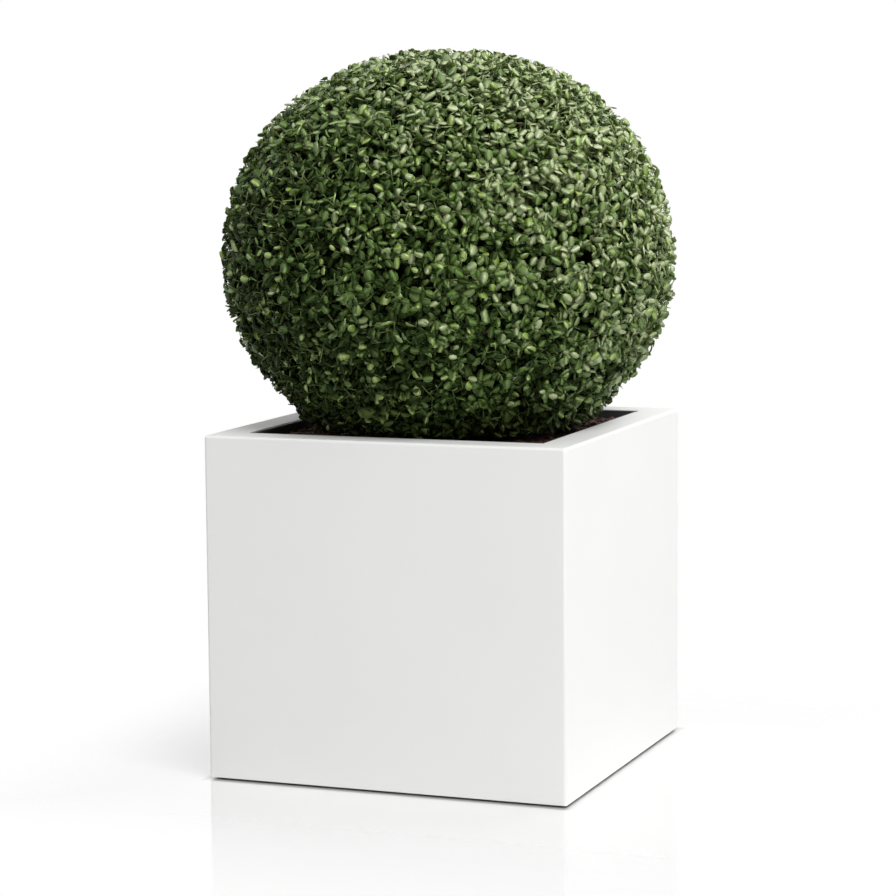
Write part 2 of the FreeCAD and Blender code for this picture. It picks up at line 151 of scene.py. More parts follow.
class PlanterStageSettings(bpy.types.PropertyGroup):
    """Camera, lamps and floor."""
    lens: number_setting("Lens", "Focal length", 116.59, unit="CAMERA")
    eye: place_setting("Eye", "Place of the camera", (1.4029, -3.6655, 0.8925))
    yaw: number_setting("Yaw", "Turn of the camera to the left", math.radians(20.983), subtype="ANGLE")
    pitch: number_setting("Pitch", "Tilt of the camera down", math.radians(6.815), subtype="ANGLE")
    roll: number_setting("Roll", "Turn about the line of sight", math.radians(-0.454), subtype="ANGLE")
    key_place: place_setting("Key place", "Place of the large lamp", (3.0, -2.4, 4.85))
    key_power: number_setting("Key", "Power of the large lamp high on the right", 314, unit="POWER")
    fill_place: place_setting("Fill place", "Place of the lamp on the left", (-2.4, -1.2, 3.6))
    fill_power: number_setting("Fill", "Power of the lamp high on the left", 30, unit="POWER")
    back_place: place_setting("Back place", "Place of the lamp behind", (1.5, 2.4, 3.4))
    back_power: number_setting("Back", "Power of the lamp behind on the right", 66, unit="POWER")
    sky: number_setting("Sky", "Brightness of the even light from all round", 0.17)
    glow: number_setting("Floor glow", "Least brightness of the floor beside the object", 0.41)
    shadow_reach: length_setting("Shadow reach", "Distance over which the shadow fades to white", 320 * MM)
    mirror_reach: length_setting("Mirror reach", "Distance over which the mirror image fades", 700 * MM)
    polish: number_setting("Polish", "Share of the floor's mirror image", 0.5, min=0, max=1)


# Small helpers for nodes, meshes and pieces

# Sockets of a Mix node that share their names, by number
VECTOR_A, VECTOR_B, VECTOR_RESULT = 4, 5, 1
COLOUR_A, COLOUR_B, COLOUR_RESULT = 6, 7, 2


def add_node(tree, kind, inputs=None, stops=(), **settings):
    """Add a shader node, set its properties and ramp stops, then fill or link its inputs.

    A node that is given as an input is linked from its first output.
    """
    node = tree.nodes.new("ShaderNode" + kind)
    for key, value in settings.items():
        setattr(node, key, value)
    # A new ramp has two stops already
    for _ in stops[2:]:
        node.color_ramp.elements.new(0.5)
    for number, (position, colour) in enumerate(stops):
        node.color_ramp.elements[number].position = position
        node.color_ramp.elements[number].color = rgba(colour)
    for key, value in (inputs or {}).items():
        if isinstance(value, bpy.types.Node):
            value = value.outputs[0]
        if isinstance(value, bpy.types.NodeSocket):
            tree.links.new(value, node.inputs[key])
        else:
            node.inputs[key].default_value = value
    return node


def rgba(colour):
    """A colour with full alpha."""
    return (*colour[:3], 1)


def scaled(colour, factor):
    """A colour made darker or lighter."""
    return [part * factor for part in colour]


def new_material(name):
    """A material with an empty node tree, and its tree."""
    material = bpy.data.materials.new(name)
    material.use_nodes = True
    material.node_tree.nodes.clear()
    return material, material.node_tree


def surfaced(material, inputs, height=None, depth=0):
    """Give a material its shader and output, and relief where a height of 1 is a depth in metres."""
    tree = material.node_tree
    if height is not None:
        inputs["Normal"] = add_node(tree, "Bump", {"Height": height, "Distance": depth})
    shader = add_node(tree, "BsdfPrincipled", inputs)
    add_node(tree, "OutputMaterial", {"Surface": shader})
    return material


def grain(tree, size, detail=3, rough=0.5, place=None, stretch=(1, 1, 1)):
    """Noise whose grains are about one size, in metres, on Object coordinates or a given place."""
    place = place or add_node(tree, "TexCoord").outputs["Object"]
    mapping = add_node(tree, "Mapping", {"Vector": place, "Scale": stretch})
    return add_node(tree, "TexNoise", {
        "Vector": mapping, "Scale": 1 / size, "Detail": detail, "Roughness": rough})


def wandering(tree, share, size, detail, rough):
    """Object coordinates that sway by a share of a noise."""
    place = add_node(tree, "TexCoord").outputs["Object"]
    sway = grain(tree, size, detail, rough, place).outputs["Color"]
    mix = add_node(tree, "Mix", {"Factor": share, VECTOR_A: place, VECTOR_B: sway}, data_type="VECTOR")
    return mix.outputs[VECTOR_RESULT]


def shaped(name, work):
    """Turn a bmesh into a linked object."""
    mesh = bpy.data.meshes.new(name)
    work.to_mesh(mesh)
    work.free()
    return linked(name, mesh)


def linked(name, mesh):
    """An object in the scene with a mesh."""
    piece = bpy.data.objects.new(name, mesh)
    bpy.context.scene.collection.objects.link(piece)
    return piece


def dress(piece, body, materials, replaces=()):
    """Give a piece its materials, its body and the nodes it stands for."""
    for material in materials:
        piece.data.materials.append(material)
    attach(piece, body)
    if replaces:
        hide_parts(*replaces)
    return piece


def paint_node(name, material):
    """Give a CAD node its finish."""
    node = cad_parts[name]
    node.data.materials.clear()
    node.data.materials.append(material)


def node_copy(name):
    """A merged bmesh copy of a CAD node."""
    work = bmesh.new()
    work.from_mesh(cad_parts[name].data)
    bmesh.ops.remove_doubles(work, verts=work.verts, dist=0.01 * MM)
    return work


# Finishes

def gel_coat(colour):
    """White polyester gel coat from a mould with a satin face.

    Deep even white with a broad satin sheen and no sharp mirror image: faint long waves
    from the laminate below and almost no texture close by.
    """
    material, tree = new_material("gel_coat_white")
    clouds = grain(tree, 160 * MM, detail=2, rough=0.4)
    tint = add_node(tree, "ValToRGB", {"Fac": clouds}, [(0.3, scaled(colour, 0.985)), (0.7, colour)])
    waves = grain(tree, 90 * MM, detail=1, rough=0.4)
    peel = add_node(tree, "MapRange", {"Value": grain(tree, 2.5 * MM, detail=2), "To Max": 0.02})
    height = add_node(tree, "Math", {0: waves, 1: peel}, operation="ADD")
    satin = add_node(tree, "MapRange", {"Value": clouds, "To Min": 0.40, "To Max": 0.48})
    return surfaced(material, {"Base Color": tint, "Roughness": satin, "IOR": 1.5}, height, 0.25 * MM)


def laminate():
    """Hand-laid glass fibre: grey-green resin, cured glossy over a mat of chopped strands.

    The strands run both ways across a wall and wander. They are drawn 3 mm wide, thicker
    than glass strands, so that they show.
    """
    material, tree = new_material("glass_fibre_laminate")
    place = wandering(tree, 0.03, 30 * MM, detail=3, rough=0.5)
    level = grain(tree, 3 * MM, 3, 0.6, place, stretch=(0.15, 0.15, 1))
    upright = grain(tree, 3 * MM, 3, 0.6, place, stretch=(1, 1, 0.15))
    mat = add_node(tree, "Math", {0: level, 1: upright}, operation="MAXIMUM")
    tint = add_node(tree, "ValToRGB", {"Fac": mat}, [
        (0.45, linear("#98A08E")), (0.72, linear("#C6CABC"))])
    return surfaced(material, {"Base Color": tint, "Roughness": 0.35, "IOR": 1.55}, mat, 0.5 * MM)


def softwood():
    """Planed pine batten: straight yellow-brown grain along its length."""
    material, tree = new_material("planed_pine")
    lines = grain(tree, 9 * MM, detail=4, rough=0.6, stretch=(0.12, 1, 1))
    tint = add_node(tree, "ValToRGB", {"Fac": lines}, [
        (0.3, linear("#C79A62")), (0.65, linear("#A87843"))])
    return surfaced(material, {"Base Color": tint, "Roughness": 0.65}, lines, 0.2 * MM)


def plywood():
    """Exterior plywood: rotary-cut face veneer with stripes of ply on its edges."""
    material, tree = new_material("exterior_plywood")
    ply = 2.4 * MM
    place = add_node(tree, "TexCoord").outputs["Object"]
    height = add_node(tree, "SeparateXYZ", {"Vector": place}).outputs["Z"]
    level = add_node(tree, "Math", {0: height, 1: 2 * ply}, operation="PINGPONG")
    stripe = add_node(tree, "Math", {0: level, 1: ply}, operation="GREATER_THAN")
    share = add_node(tree, "MapRange", {"Value": stripe, "To Max": 0.35})
    veneer = grain(tree, 14 * MM, 4, 0.6, place, stretch=(0.2, 1, 1))
    face = add_node(tree, "ValToRGB", {"Fac": veneer}, [
        (0.3, linear("#C9A06C")), (0.7, linear("#B28452"))])
    mix = add_node(tree, "Mix", {
        "Factor": share, COLOUR_A: face, COLOUR_B: rgba(linear("#7E5732"))}, data_type="RGBA")
    return surfaced(
        material, {"Base Color": mix.outputs[COLOUR_RESULT], "Roughness": 0.7}, veneer, 0.15 * MM)


def moulded_rubber(name, hex_colour):
    """Black moulded rubber: matt, with a faint bloom and a fine moulded skin."""
    material, tree = new_material(name)
    dark = linear(hex_colour)
    bloom = grain(tree, 12 * MM, detail=4)
    tint = add_node(tree, "ValToRGB", {"Fac": bloom}, [(0.35, dark), (0.75, scaled(dark, 1.7))])
    return surfaced(
        material, {"Base Color": tint, "Roughness": 0.7, "IOR": 1.52}, grain(tree, 0.8 * MM), 0.05 * MM)


def stainless():
    """Stainless steel screw: cold-headed, bright, with fine marks round its axis."""
    material, tree = new_material("stainless_steel")
    marks = grain(tree, 0.6 * MM, rough=0.6, stretch=(1, 1, 4))
    rough = add_node(tree, "MapRange", {"Value": marks, "To Min": 0.25, "To Max": 0.45})
    bright = rgba(linear("#C4C5C6"))
    return surfaced(material, {"Base Color": bright, "Metallic": 1, "Roughness": rough}, marks, 0.02 * MM)


def moulded_plastic(name, colour, grit, depth, smooth, rough):
    """Moulded polyolefin: even colour, satin, with a fine pebbled skin from its mould."""
    material, tree = new_material(name)
    pebbles = grain(tree, grit, rough=0.55)
    tint = add_node(tree, "ValToRGB", {"Fac": grain(tree, 70 * MM)}, [
        (0.3, scaled(colour, 0.85)), (0.7, scaled(colour, 1.12))])
    satin = add_node(tree, "MapRange", {"Value": pebbles, "To Min": smooth, "To Max": rough})
    return surfaced(material, {"Base Color": tint, "Roughness": satin, "IOR": 1.5}, pebbles, depth)


def felt():
    """Needled polyester fleece: off-white, matted fibres."""
    material, tree = new_material("needled_fleece")
    fibres = grain(tree, 1.2 * MM, detail=5, rough=0.7, stretch=(1, 0.3, 1))
    tint = add_node(tree, "ValToRGB", {"Fac": fibres}, [
        (0.3, linear("#A9A79F")), (0.7, linear("#DAD8D0"))])
    return surfaced(material, {"Base Color": tint, "Roughness": 0.95}, fibres, 0.5 * MM)


def crumbly(tree, colour, crumb):
    """Heights and colours of dark crumbs of peat and fine bark, with a few pale grains."""
    place = add_node(tree, "TexCoord").outputs["Object"]
    crumbs = grain(tree, crumb, 6, 0.7, place)
    brown = add_node(tree, "ValToRGB", {"Fac": crumbs}, [
        (0.25, scaled(colour, 0.45)), (0.75, scaled(colour, 1.8))])
    specks = add_node(tree, "TexVoronoi", {"Vector": place, "Scale": 1 / (9 * MM)})
    pale = add_node(tree, "Math", {0: specks, 1: 0.13}, operation="LESS_THAN")
    share = add_node(tree, "MapRange", {"Value": pale, "To Max": 0.5})
    mix = add_node(tree, "Mix", {
        "Factor": share, COLOUR_A: brown, COLOUR_B: rgba(linear("#9A8C78"))}, data_type="RGBA")
    return crumbs, mix.outputs[COLOUR_RESULT]


def moist_compost(colour):
    """Moist potting compost: matt, dark and crumbly."""
    material, tree = new_material("moist_compost")
    crumbs, tint = crumbly(tree, colour, 3.5 * MM)
    return surfaced(material, {"Base Color": tint, "Roughness": 0.9}, crumbs, 1.5 * MM)


def rooted_compost(colour):
    """Compost bound by roots, which show on it as a net of fine pale threads.

    The threads are drawn 1 mm thick so that they show.
    """
    material, tree = new_material("rooted_compost")
    crumbs, brown = crumbly(tree, colour, 4 * MM)
    place = wandering(tree, 0.05, 18 * MM, detail=4, rough=0.6)
    cells = add_node(tree, "TexVoronoi", {"Vector": place, "Scale": 1 / (16 * MM)},
                     feature="DISTANCE_TO_EDGE")
    threads = add_node(tree, "Math", {0: cells, 1: 0.035}, operation="LESS_THAN")
    raised = add_node(tree, "Math", {0: crumbs, 1: 0.47}, operation="GREATER_THAN")
    seen = add_node(tree, "Math", {0: threads, 1: raised}, operation="MULTIPLY")
    share = add_node(tree, "MapRange", {"Value": seen, "To Max": 0.6})
    mix = add_node(tree, "Mix", {
        "Factor": share, COLOUR_A: brown, COLOUR_B: rgba(linear("#B7A27C"))}, data_type="RGBA")
    return surfaced(material, {"Base Color": mix.outputs[COLOUR_RESULT], "Roughness": 0.9}, crumbs, 2 * MM)


def pine_bark(dark, light):
    """Fine pine bark: broken flakes, reddish on fresh faces and grey-brown where weathered."""
    material, tree = new_material("pine_bark")
    tone = add_node(tree, "Attribute", attribute_name="tone").outputs["Fac"]
    layers = grain(tree, 3 * MM, detail=4, rough=0.6)
    change = add_node(tree, "MapRange", {"Value": layers, "To Min": -0.25, "To Max": 0.25})
    mixed = add_node(tree, "Math", {0: tone, 1: change}, operation="ADD")
    tint = add_node(tree, "ValToRGB", {"Fac": mixed}, [(0.1, dark), (0.9, light)])
    return surfaced(material, {"Base Color": tint, "Roughness": 0.85}, layers, 0.6 * MM)


def boxwood_bark(colour):
    """Boxwood bark: thin, pale grey-brown, cracked into small plates along the stem."""
    material, tree = new_material("boxwood_bark")
    cracks = grain(tree, 5 * MM, detail=5, rough=0.65, stretch=(1, 1, 0.35))
    tint = add_node(tree, "ValToRGB", {"Fac": cracks}, [
        (0.3, scaled(colour, 0.5)), (0.7, scaled(colour, 1.5))])
    return surfaced(material, {"Base Color": tint, "Roughness": 0.85}, cracks, 0.8 * MM)


def box_leaf(settings):
    """Boxwood leaf: thick, leathery, with a waxy gloss, a pale midrib and a duller underside.

    The upper side's gloss mirrors the lamps, and a broad pale sheen is also painted into the
    colour of leaves that face them; a thin pale line along the rolled edge is a painted
    highlight. The tone attribute runs from old and shaded, 0, to young, 1, carries painted
    light and shade, and the blade map's second unit is the underside.
    """
    material, tree = new_material("boxwood_leaf")
    tone = add_node(tree, "Attribute", attribute_name="tone").outputs["Fac"]
    # The darkest stop also serves as painted shade, and the two pale stops are a painted sheen
    blade = add_node(tree, "ValToRGB", {"Fac": tone}, [
        (0.0, settings.old_and_shaded_leaf), (0.45, settings.full_leaf), (0.8, settings.painted_sheen_leaf),
        (0.95, settings.painted_sheen_leaf), (1.0, settings.young_leaf)])
    uv = add_node(tree, "SeparateXYZ", {"Vector": add_node(tree, "UVMap", uv_map="blade")})
    across = add_node(tree, "Math", {0: uv.outputs["X"], 1: 0.5}, operation="SUBTRACT")
    off_rib = add_node(tree, "Math", {0: across}, operation="ABSOLUTE")
    rib = add_node(tree, "MapRange", {
        "Value": off_rib, "From Min": 0.03, "From Max": 0.32, "To Min": 0.3, "To Max": 0})
    # A pale line along the rolled edge: a painted highlight
    edge = add_node(tree, "MapRange", {
        "Value": off_rib, "From Min": 0.36, "From Max": 0.46, "To Max": 0.6})
    rib_and_edge_highlight = add_node(tree, "Math", {0: rib, 1: edge}, operation="MAXIMUM")
    # Midrib and painted edge highlight show more on leaves of higher tone, which carries painted light
    paler = add_node(tree, "MapRange", {"Value": tone, "To Min": 0.2, "To Max": 1.2})
    marked = add_node(tree, "Math", {0: rib_and_edge_highlight, 1: paler}, operation="MULTIPLY")
    lined = add_node(tree, "Mix", {
        "Factor": marked, COLOUR_A: blade, COLOUR_B: rgba(linear("#A6B884"))}, data_type="RGBA")
    under = add_node(tree, "Math", {0: uv.outputs["Y"], 1: 1}, operation="GREATER_THAN")
    sides = add_node(tree, "Mix", {
        "Factor": add_node(tree, "MapRange", {"Value": under, "To Max": 0.45}),
        COLOUR_A: lined.outputs[COLOUR_RESULT], COLOUR_B: rgba(linear("#7C8F4E"))}, data_type="RGBA")
    wax = add_node(tree, "MapRange", {"Value": grain(tree, 5 * MM), "To Min": 0.30, "To Max": 0.46})
    duller = add_node(tree, "MapRange", {"Value": under, "To Max": 0.25})
    return surfaced(material, {
        "Base Color": sides.outputs[COLOUR_RESULT], "IOR": 1.5,
        "Roughness": add_node(tree, "Math", {0: wax, 1: duller}, operation="ADD"),
        "Specular IOR Level": add_node(tree, "MapRange", {"Value": tone, "To Min": 0.04})})


def green_shoot(colour):
    """This year's shoot: thin, green and slightly glossy."""
    material, tree = new_material("green_shoot")
    tint = add_node(tree, "ValToRGB", {"Fac": grain(tree, 8 * MM, detail=2)}, [
        (0.3, scaled(colour, 0.6)), (0.7, colour)])
    return surfaced(material, {"Base Color": tint, "Roughness": 0.5})


# Shell

# Sides of the round drain hole
HOLE_SIDES = 48
# Corners this near a level lie in it
LEVEL_MATCH = 0.001 * MM
# Drop of the edge that is then spread out into the rim's underside
UNDERSIDE_DROP = 0.01 * MM
# Margin by which the faces of the inside are told from the gel-coated ones
INSIDE_MARGIN = 0.1 * MM
# Weight by which the flat faces set the shading of the rounded edges
LARGE_FACES_FIRST = 100


def settle(work, faces, offset):
    """Extrude a face and move the new one by an offset."""
    grown = bmesh.ops.extrude_face_region(work, geom=faces)["geom"]
    caps = [item for item in grown if isinstance(item, bmesh.types.BMFace)]
    corners = [item for item in grown if isinstance(item, bmesh.types.BMVert)]
    bmesh.ops.translate(work, vec=offset, verts=corners)
    bmesh.ops.delete(work, geom=faces, context="FACES_ONLY")
    return caps


def spread(face, width):
    """Widen a face in its plane by a width on every side."""
    centre = face.calc_center_median()
    for corner in face.verts:
        outward = corner.co - centre
        corner.co += Vector((math.copysign(width, outward.x), math.copysign(width, outward.y), 0))


def open_floor(work, levels, radius):
    """Cut a round hole through the floor, whose two faces lie at two levels."""
    rims = []
    for level in levels:
        flat = [face for face in work.faces
                if all(abs(vert.co.z - level) < LEVEL_MATCH for vert in face.verts)]
        floor = max(flat, key=lambda face: face.calc_area())
        circle = bmesh.ops.create_circle(
            work, segments=HOLE_SIDES, radius=radius, matrix=Matrix.Translation((0, 0, level)))
        rim = list(dict.fromkeys(edge for vert in circle["verts"] for edge in vert.link_edges))
        outline = list(floor.edges)
        bmesh.ops.delete(work, geom=[floor], context="FACES_ONLY")
        bmesh.ops.triangle_fill(work, edges=outline + rim, use_beauty=True)
        rims += rim
    bmesh.ops.bridge_loops(work, edges=rims)


def shell_piece(settings):
    """The visible skin of the shell: walls, flat rim, hollow inside and recessed floor.

    The mould gives outside, rim and underside their gel coat. The inside is bare laminate.
    """
    work = bmesh.new()
    bmesh.ops.create_cube(work, size=1)
    bmesh.ops.scale(work, vec=SHELL_HIGH - SHELL_LOW, verts=work.verts)
    bmesh.ops.translate(work, vec=(SHELL_HIGH + SHELL_LOW) / 2, verts=work.verts)
    low_edges = [edge for edge in work.edges
                 if all(vert.co.z < SHELL_LOW.z + LEVEL_MATCH for vert in edge.verts)]
    outer_edges = [edge for edge in work.edges if edge not in low_edges]
    top = max(work.faces, key=lambda face: face.calc_center_median().z)
    bottom = min(work.faces, key=lambda face: face.calc_center_median().z)

    bmesh.ops.inset_individual(work, faces=[top], thickness=settings.rim_width, use_even_offset=True)
    mouth_edges = list(top.edges)
    top = settle(work, [top], Vector((0, 0, -settings.rim_thickness)))[0]
    top = settle(work, [top], Vector((0, 0, -UNDERSIDE_DROP)))[0]
    spread(top, settings.rim_width - settings.wall)
    floor_top = SHELL_LOW.z + settings.recess + settings.floor
    drop = floor_top - top.calc_center_median().z
    settle(work, [top], Vector((0, 0, drop)))

    bmesh.ops.inset_individual(work, faces=[bottom], thickness=settings.wall, use_even_offset=True)
    settle(work, [bottom], Vector((0, 0, settings.recess)))

    for edges, radius, segments in ((outer_edges, settings.edge_radius, 6),
                                    (low_edges, settings.foot_radius, 2),
                                    (mouth_edges, settings.mouth_radius, 3)):
        alive = [edge for edge in edges if edge.is_valid]
        bmesh.ops.bevel(work, geom=alive, offset=radius, offset_type="OFFSET", segments=segments,
                        profile=0.5, affect="EDGES", material=-1, clamp_overlap=True)
    open_floor(work, (floor_top, SHELL_LOW.z + settings.recess), settings.drain_radius)
    bmesh.ops.recalc_face_normals(work, faces=work.faces)
    inner_half = SHELL_HIGH.x - settings.wall + INSIDE_MARGIN
    inner_low = floor_top - settings.floor + INSIDE_MARGIN
    inner_high = SHELL_HIGH.z - settings.rim_thickness + INSIDE_MARGIN
    for face in work.faces:
        face.smooth = True
        middle = face.calc_center_median()
        inside = max(abs(middle.x), abs(middle.y)) < inner_half and inner_low < middle.z < inner_high
        face.material_index = 1 if inside else 0
    piece = shaped("shell_skin", work)
    piece.modifiers.new("Even corners", "WEIGHTED_NORMAL").weight = LARGE_FACES_FIRST
    return piece


class PLANTER_OT_shell(bpy.types.Operator):
    """Model the gel-coated shell with its flat rim"""
    bl_idname = "planter.shell"
    bl_label = "Fibreglass shell"

    def execute(self, context):
        settings = context.scene.planter_shell
        piece = shell_piece(settings)
        dress(piece, "planter", [gel_coat(settings.gel_coat), laminate()], ["outer_shell"])
        return {"FINISHED"}


class PLANTER_OT_fittings(bpy.types.Operator):
    """Finish the cores, board, feet, screws, drain, liner and plate"""
    bl_idname = "planter.fittings"
    bl_label = "Fittings and liner"

    def execute(self, context):
        settings = context.scene.planter_liner
        pine = softwood()
        rubber = moulded_rubber("moulded_rubber", "#1B1B1B")
        drain = moulded_plastic(
            "polypropylene", linear("#3A3B3D"), grit=0.9 * MM, depth=0.04 * MM, smooth=0.35, rough=0.5)
        for side in ("front", "back", "left", "right"):
            paint_node("rim_core_" + side, pine)
        for name in ("foot_front_left", "foot_front_right", "foot_back_left", "foot_back_right"):
            paint_node(name, rubber)
        paint_node("base_board", plywood())
        paint_node("foot_screws", stainless())
        paint_node("drain_bush", drain)
        paint_node("drain_nut", drain)
        paint_node("drain_gasket", rubber)
        paint_node("drain_bung", moulded_rubber("bung_rubber", "#2B2B2B"))
        paint_node("liner_tub", moulded_plastic(
            "rotomoulded_polyethylene", settings.tub, grit=1.6 * MM, depth=0.12 * MM, smooth=0.4, rough=0.6))
        paint_node("drainage_plate", moulded_plastic(
            "black_polyethylene", linear("#1E1E1F"), grit=0.8 * MM, depth=0.05 * MM, smooth=0.4, rough=0.55))
        return {"FINISHED"}


# Fillings of the liner

# Tone of a copy before its own change of tone, from 0 to 1
MIDDLE_TONE = 0.5
# How fast the finer crumbs get shallower and finer, and how many sizes of them there are
CRUMB_FALL, CRUMB_STEP, CRUMB_SIZES = 1.0, 2.0, 4
# Bark chips: how many shapes, lengths as shares of the usual one, widths and heights as shares
# of the length, bevel as a share of the height, how far corners are broken, leans from level,
# depths in mm, and changes of tone
CHIP_SHAPES = 8
CHIP_LENGTHS = (0.6, 1.25)
CHIP_WIDTHS = (0.4, 0.75)
CHIP_HEIGHTS = (0.14, 0.3)
CHIP_BEVEL = 0.3
CHIP_BREAK = 0.045
CHIP_LEAN = 0.28
CHIP_DEPTHS = (1.5, 6)
CHIP_TONES = (-0.45, 0.45)
# Gaps between the chips' middles and the liner's wall or the root ball, as shares of a length
CHIP_WALL_GAP, CHIP_ROOT_GAP = 0.55, 0.3
# The fleece: squares along a side, middle level, thickness, and height and width of its ripple
FLEECE_SQUARES = 36
FLEECE_LEVEL = 0.5 * MM
FLEECE_THICKNESS = 0.8 * MM
FLEECE_RIPPLE, FLEECE_WAVE = 0.3 * MM, 40 * MM


def roughened(name, node, size, depth, seed, cuts, longest):
    """A copy of a bulk node with a crumbly surface that stays inside the node."""
    work = node_copy(node)
    for _ in range(cuts):
        long_edges = [edge for edge in work.edges if edge.calc_length() > longest]
        bmesh.ops.subdivide_edges(work, edges=long_edges, cuts=1, use_grid_fill=True)
        bmesh.ops.triangulate(work, faces=[face for face in work.faces if len(face.verts) > 4])
    work.normal_update()
    offset = Vector((seed, seed * 2, seed * 3))
    for vert in work.verts:
        swell = 0.5 + 0.5 * noise.fractal(vert.co / size + offset, CRUMB_FALL, CRUMB_STEP, CRUMB_SIZES)
        vert.co -= vert.normal * depth * min(1, max(0, swell))
    for face in work.faces:
        face.smooth = True
    return shaped(name, work)


def chip_template(name, draw, length):
    """One flake of bark: a flat block with broken, bevelled corners."""
    work = bmesh.new()
    bmesh.ops.create_cube(work, size=1)
    size = Vector((length, length * draw.uniform(*CHIP_WIDTHS), length * draw.uniform(*CHIP_HEIGHTS)))
    bmesh.ops.scale(work, vec=size, verts=work.verts)
    bmesh.ops.bevel(work, geom=work.edges[:], offset=size.z * CHIP_BEVEL, offset_type="OFFSET",
                    segments=1, profile=0.5, affect="EDGES", material=-1)
    for vert in work.verts:
        shake = Vector([draw.uniform(-1, 1) for _ in range(3)])
        bmesh.ops.translate(work, vec=shake * length * CHIP_BREAK, verts=[vert])
    return template(name, work, MIDDLE_TONE)


def template(name, work, tone):
    """Turn a bmesh into a mesh that copies repeat, with an even tone and a blade map."""
    if not work.loops.layers.uv:
        work.loops.layers.uv.new("blade")
    tones = work.verts.layers.float.new("tone")
    for vert in work.verts:
        vert[tones] = tone
    mesh = bpy.data.meshes.new(name)
    work.to_mesh(mesh)
    work.free()
    return mesh


def template_arrays(mesh):
    """The numbers of a template mesh that its copies repeat."""
    verts = np.empty(len(mesh.vertices) * 3)
    mesh.vertices.foreach_get("co", verts)
    loops = np.empty(len(mesh.loops), int)
    mesh.loops.foreach_get("vertex_index", loops)
    starts = np.empty(len(mesh.polygons), int)
    mesh.polygons.foreach_get("loop_start", starts)
    slots = np.empty(len(mesh.polygons), int)
    mesh.polygons.foreach_get("material_index", slots)
    tones = np.empty(len(mesh.vertices))
    mesh.attributes["tone"].data.foreach_get("value", tones)
    uvs = np.empty(len(mesh.loops) * 2)
    mesh.uv_layers["blade"].data.foreach_get("uv", uvs)
    return verts.reshape(-1, 3), loops, starts, slots, tones, uvs


def planted(name, templates, picks, matrices, tones):
    """One object made of copies of template meshes, each with its own place and tone."""
    parts = [[] for _ in range(6)]
    vert_total = 0
    loop_total = 0
    for number, source in enumerate(templates):
        chosen = np.flatnonzero(picks == number)
        if len(chosen) == 0:
            continue
        verts, loops, starts, slots, shades, uvs = template_arrays(source)
        turns = matrices[chosen, :3, :3]
        moves = matrices[chosen, :3, 3]
        placed = np.einsum("nij,vj->nvi", turns, verts) + moves[:, None, :]
        copies = np.arange(len(chosen))
        parts[0].append(placed.reshape(-1))
        parts[1].append((loops[None, :] + vert_total + copies[:, None] * len(verts)).reshape(-1))
        parts[2].append((starts[None, :] + loop_total + copies[:, None] * len(loops)).reshape(-1))
        parts[3].append(np.tile(slots, len(chosen)))
        parts[4].append(np.clip(shades[None, :] + tones[chosen, None], 0, 1).reshape(-1))
        parts[5].append(np.tile(uvs, len(chosen)))
        vert_total += len(verts) * len(chosen)
        loop_total += len(loops) * len(chosen)
    coordinates, corners, starts, slots, shades, uvs = [np.concatenate(part) for part in parts]
    mesh = bpy.data.meshes.new(name)
    mesh.vertices.add(vert_total)
    mesh.vertices.foreach_set("co", coordinates)
    mesh.loops.add(loop_total)
    mesh.loops.foreach_set("vertex_index", corners)
    mesh.polygons.add(len(starts))
    mesh.polygons.foreach_set("loop_start", starts)
    mesh.polygons.foreach_set("material_index", slots)
    mesh.uv_layers.new(name="blade").data.foreach_set("uv", uvs)
    mesh.attributes.new("tone", "FLOAT", "POINT").data.foreach_set("value", shades)
    mesh.shade_smooth()
    mesh.update(calc_edges=True)
    return linked(name, mesh)


def turn_to(heading, spin):
    """A turn that brings +Z to a heading, after a spin about it."""
    return heading.to_track_quat("Z", "Y").to_matrix().to_4x4() @ Matrix.Rotation(spin, 4, "Z")


def bark_chips(settings):
    """Loose bark flakes on the bed, between the root ball and the liner's wall."""
    draw = random.Random(settings.seed)
    templates = [chip_template(f"chip_{number}", draw, settings.chip_length * draw.uniform(*CHIP_LENGTHS))
                 for number in range(CHIP_SHAPES)]
    reach = BARK_HIGH.x - settings.chip_length * CHIP_WALL_GAP
    keep_out = ROOT_HIGH.x + settings.chip_length * CHIP_ROOT_GAP
    matrices = []
    while len(matrices) < settings.chip_count:
        x = draw.uniform(-reach, reach)
        y = draw.uniform(-reach, reach)
        if math.hypot(x, y) < keep_out:
            continue
        lean = Vector((draw.gauss(0, CHIP_LEAN), draw.gauss(0, CHIP_LEAN), 1)).normalized()
        level = BARK_HIGH.z - draw.uniform(*CHIP_DEPTHS) * MM
        matrices.append(Matrix.Translation((x, y, level)) @ turn_to(lean, draw.uniform(0, 2 * math.pi)))
    picks = np.array([draw.randrange(len(templates)) for _ in matrices])
    tones = np.array([draw.uniform(*CHIP_TONES) for _ in matrices])
    return planted("bark_chips", templates, picks, np.array(matrices), tones)


def fleece_sheet():
    """The fleece, cut to the tub and laid on the plate with a slight ripple."""
    work = bmesh.new()
    bmesh.ops.create_grid(work, x_segments=FLEECE_SQUARES, y_segments=FLEECE_SQUARES, size=0.5)
    size = FLEECE_HIGH - FLEECE_LOW
    bmesh.ops.scale(work, vec=(size.x, size.y, 1), verts=work.verts)
    bmesh.ops.translate(work, vec=(0, 0, FLEECE_LOW.z + FLEECE_LEVEL), verts=work.verts)
    for vert in work.verts:
        vert.co.z += FLEECE_RIPPLE * noise.noise(vert.co / FLEECE_WAVE)
    bmesh.ops.solidify(work, geom=work.faces[:], thickness=FLEECE_THICKNESS)
    bmesh.ops.recalc_face_normals(work, faces=work.faces)
    return shaped("fleece_sheet", work)


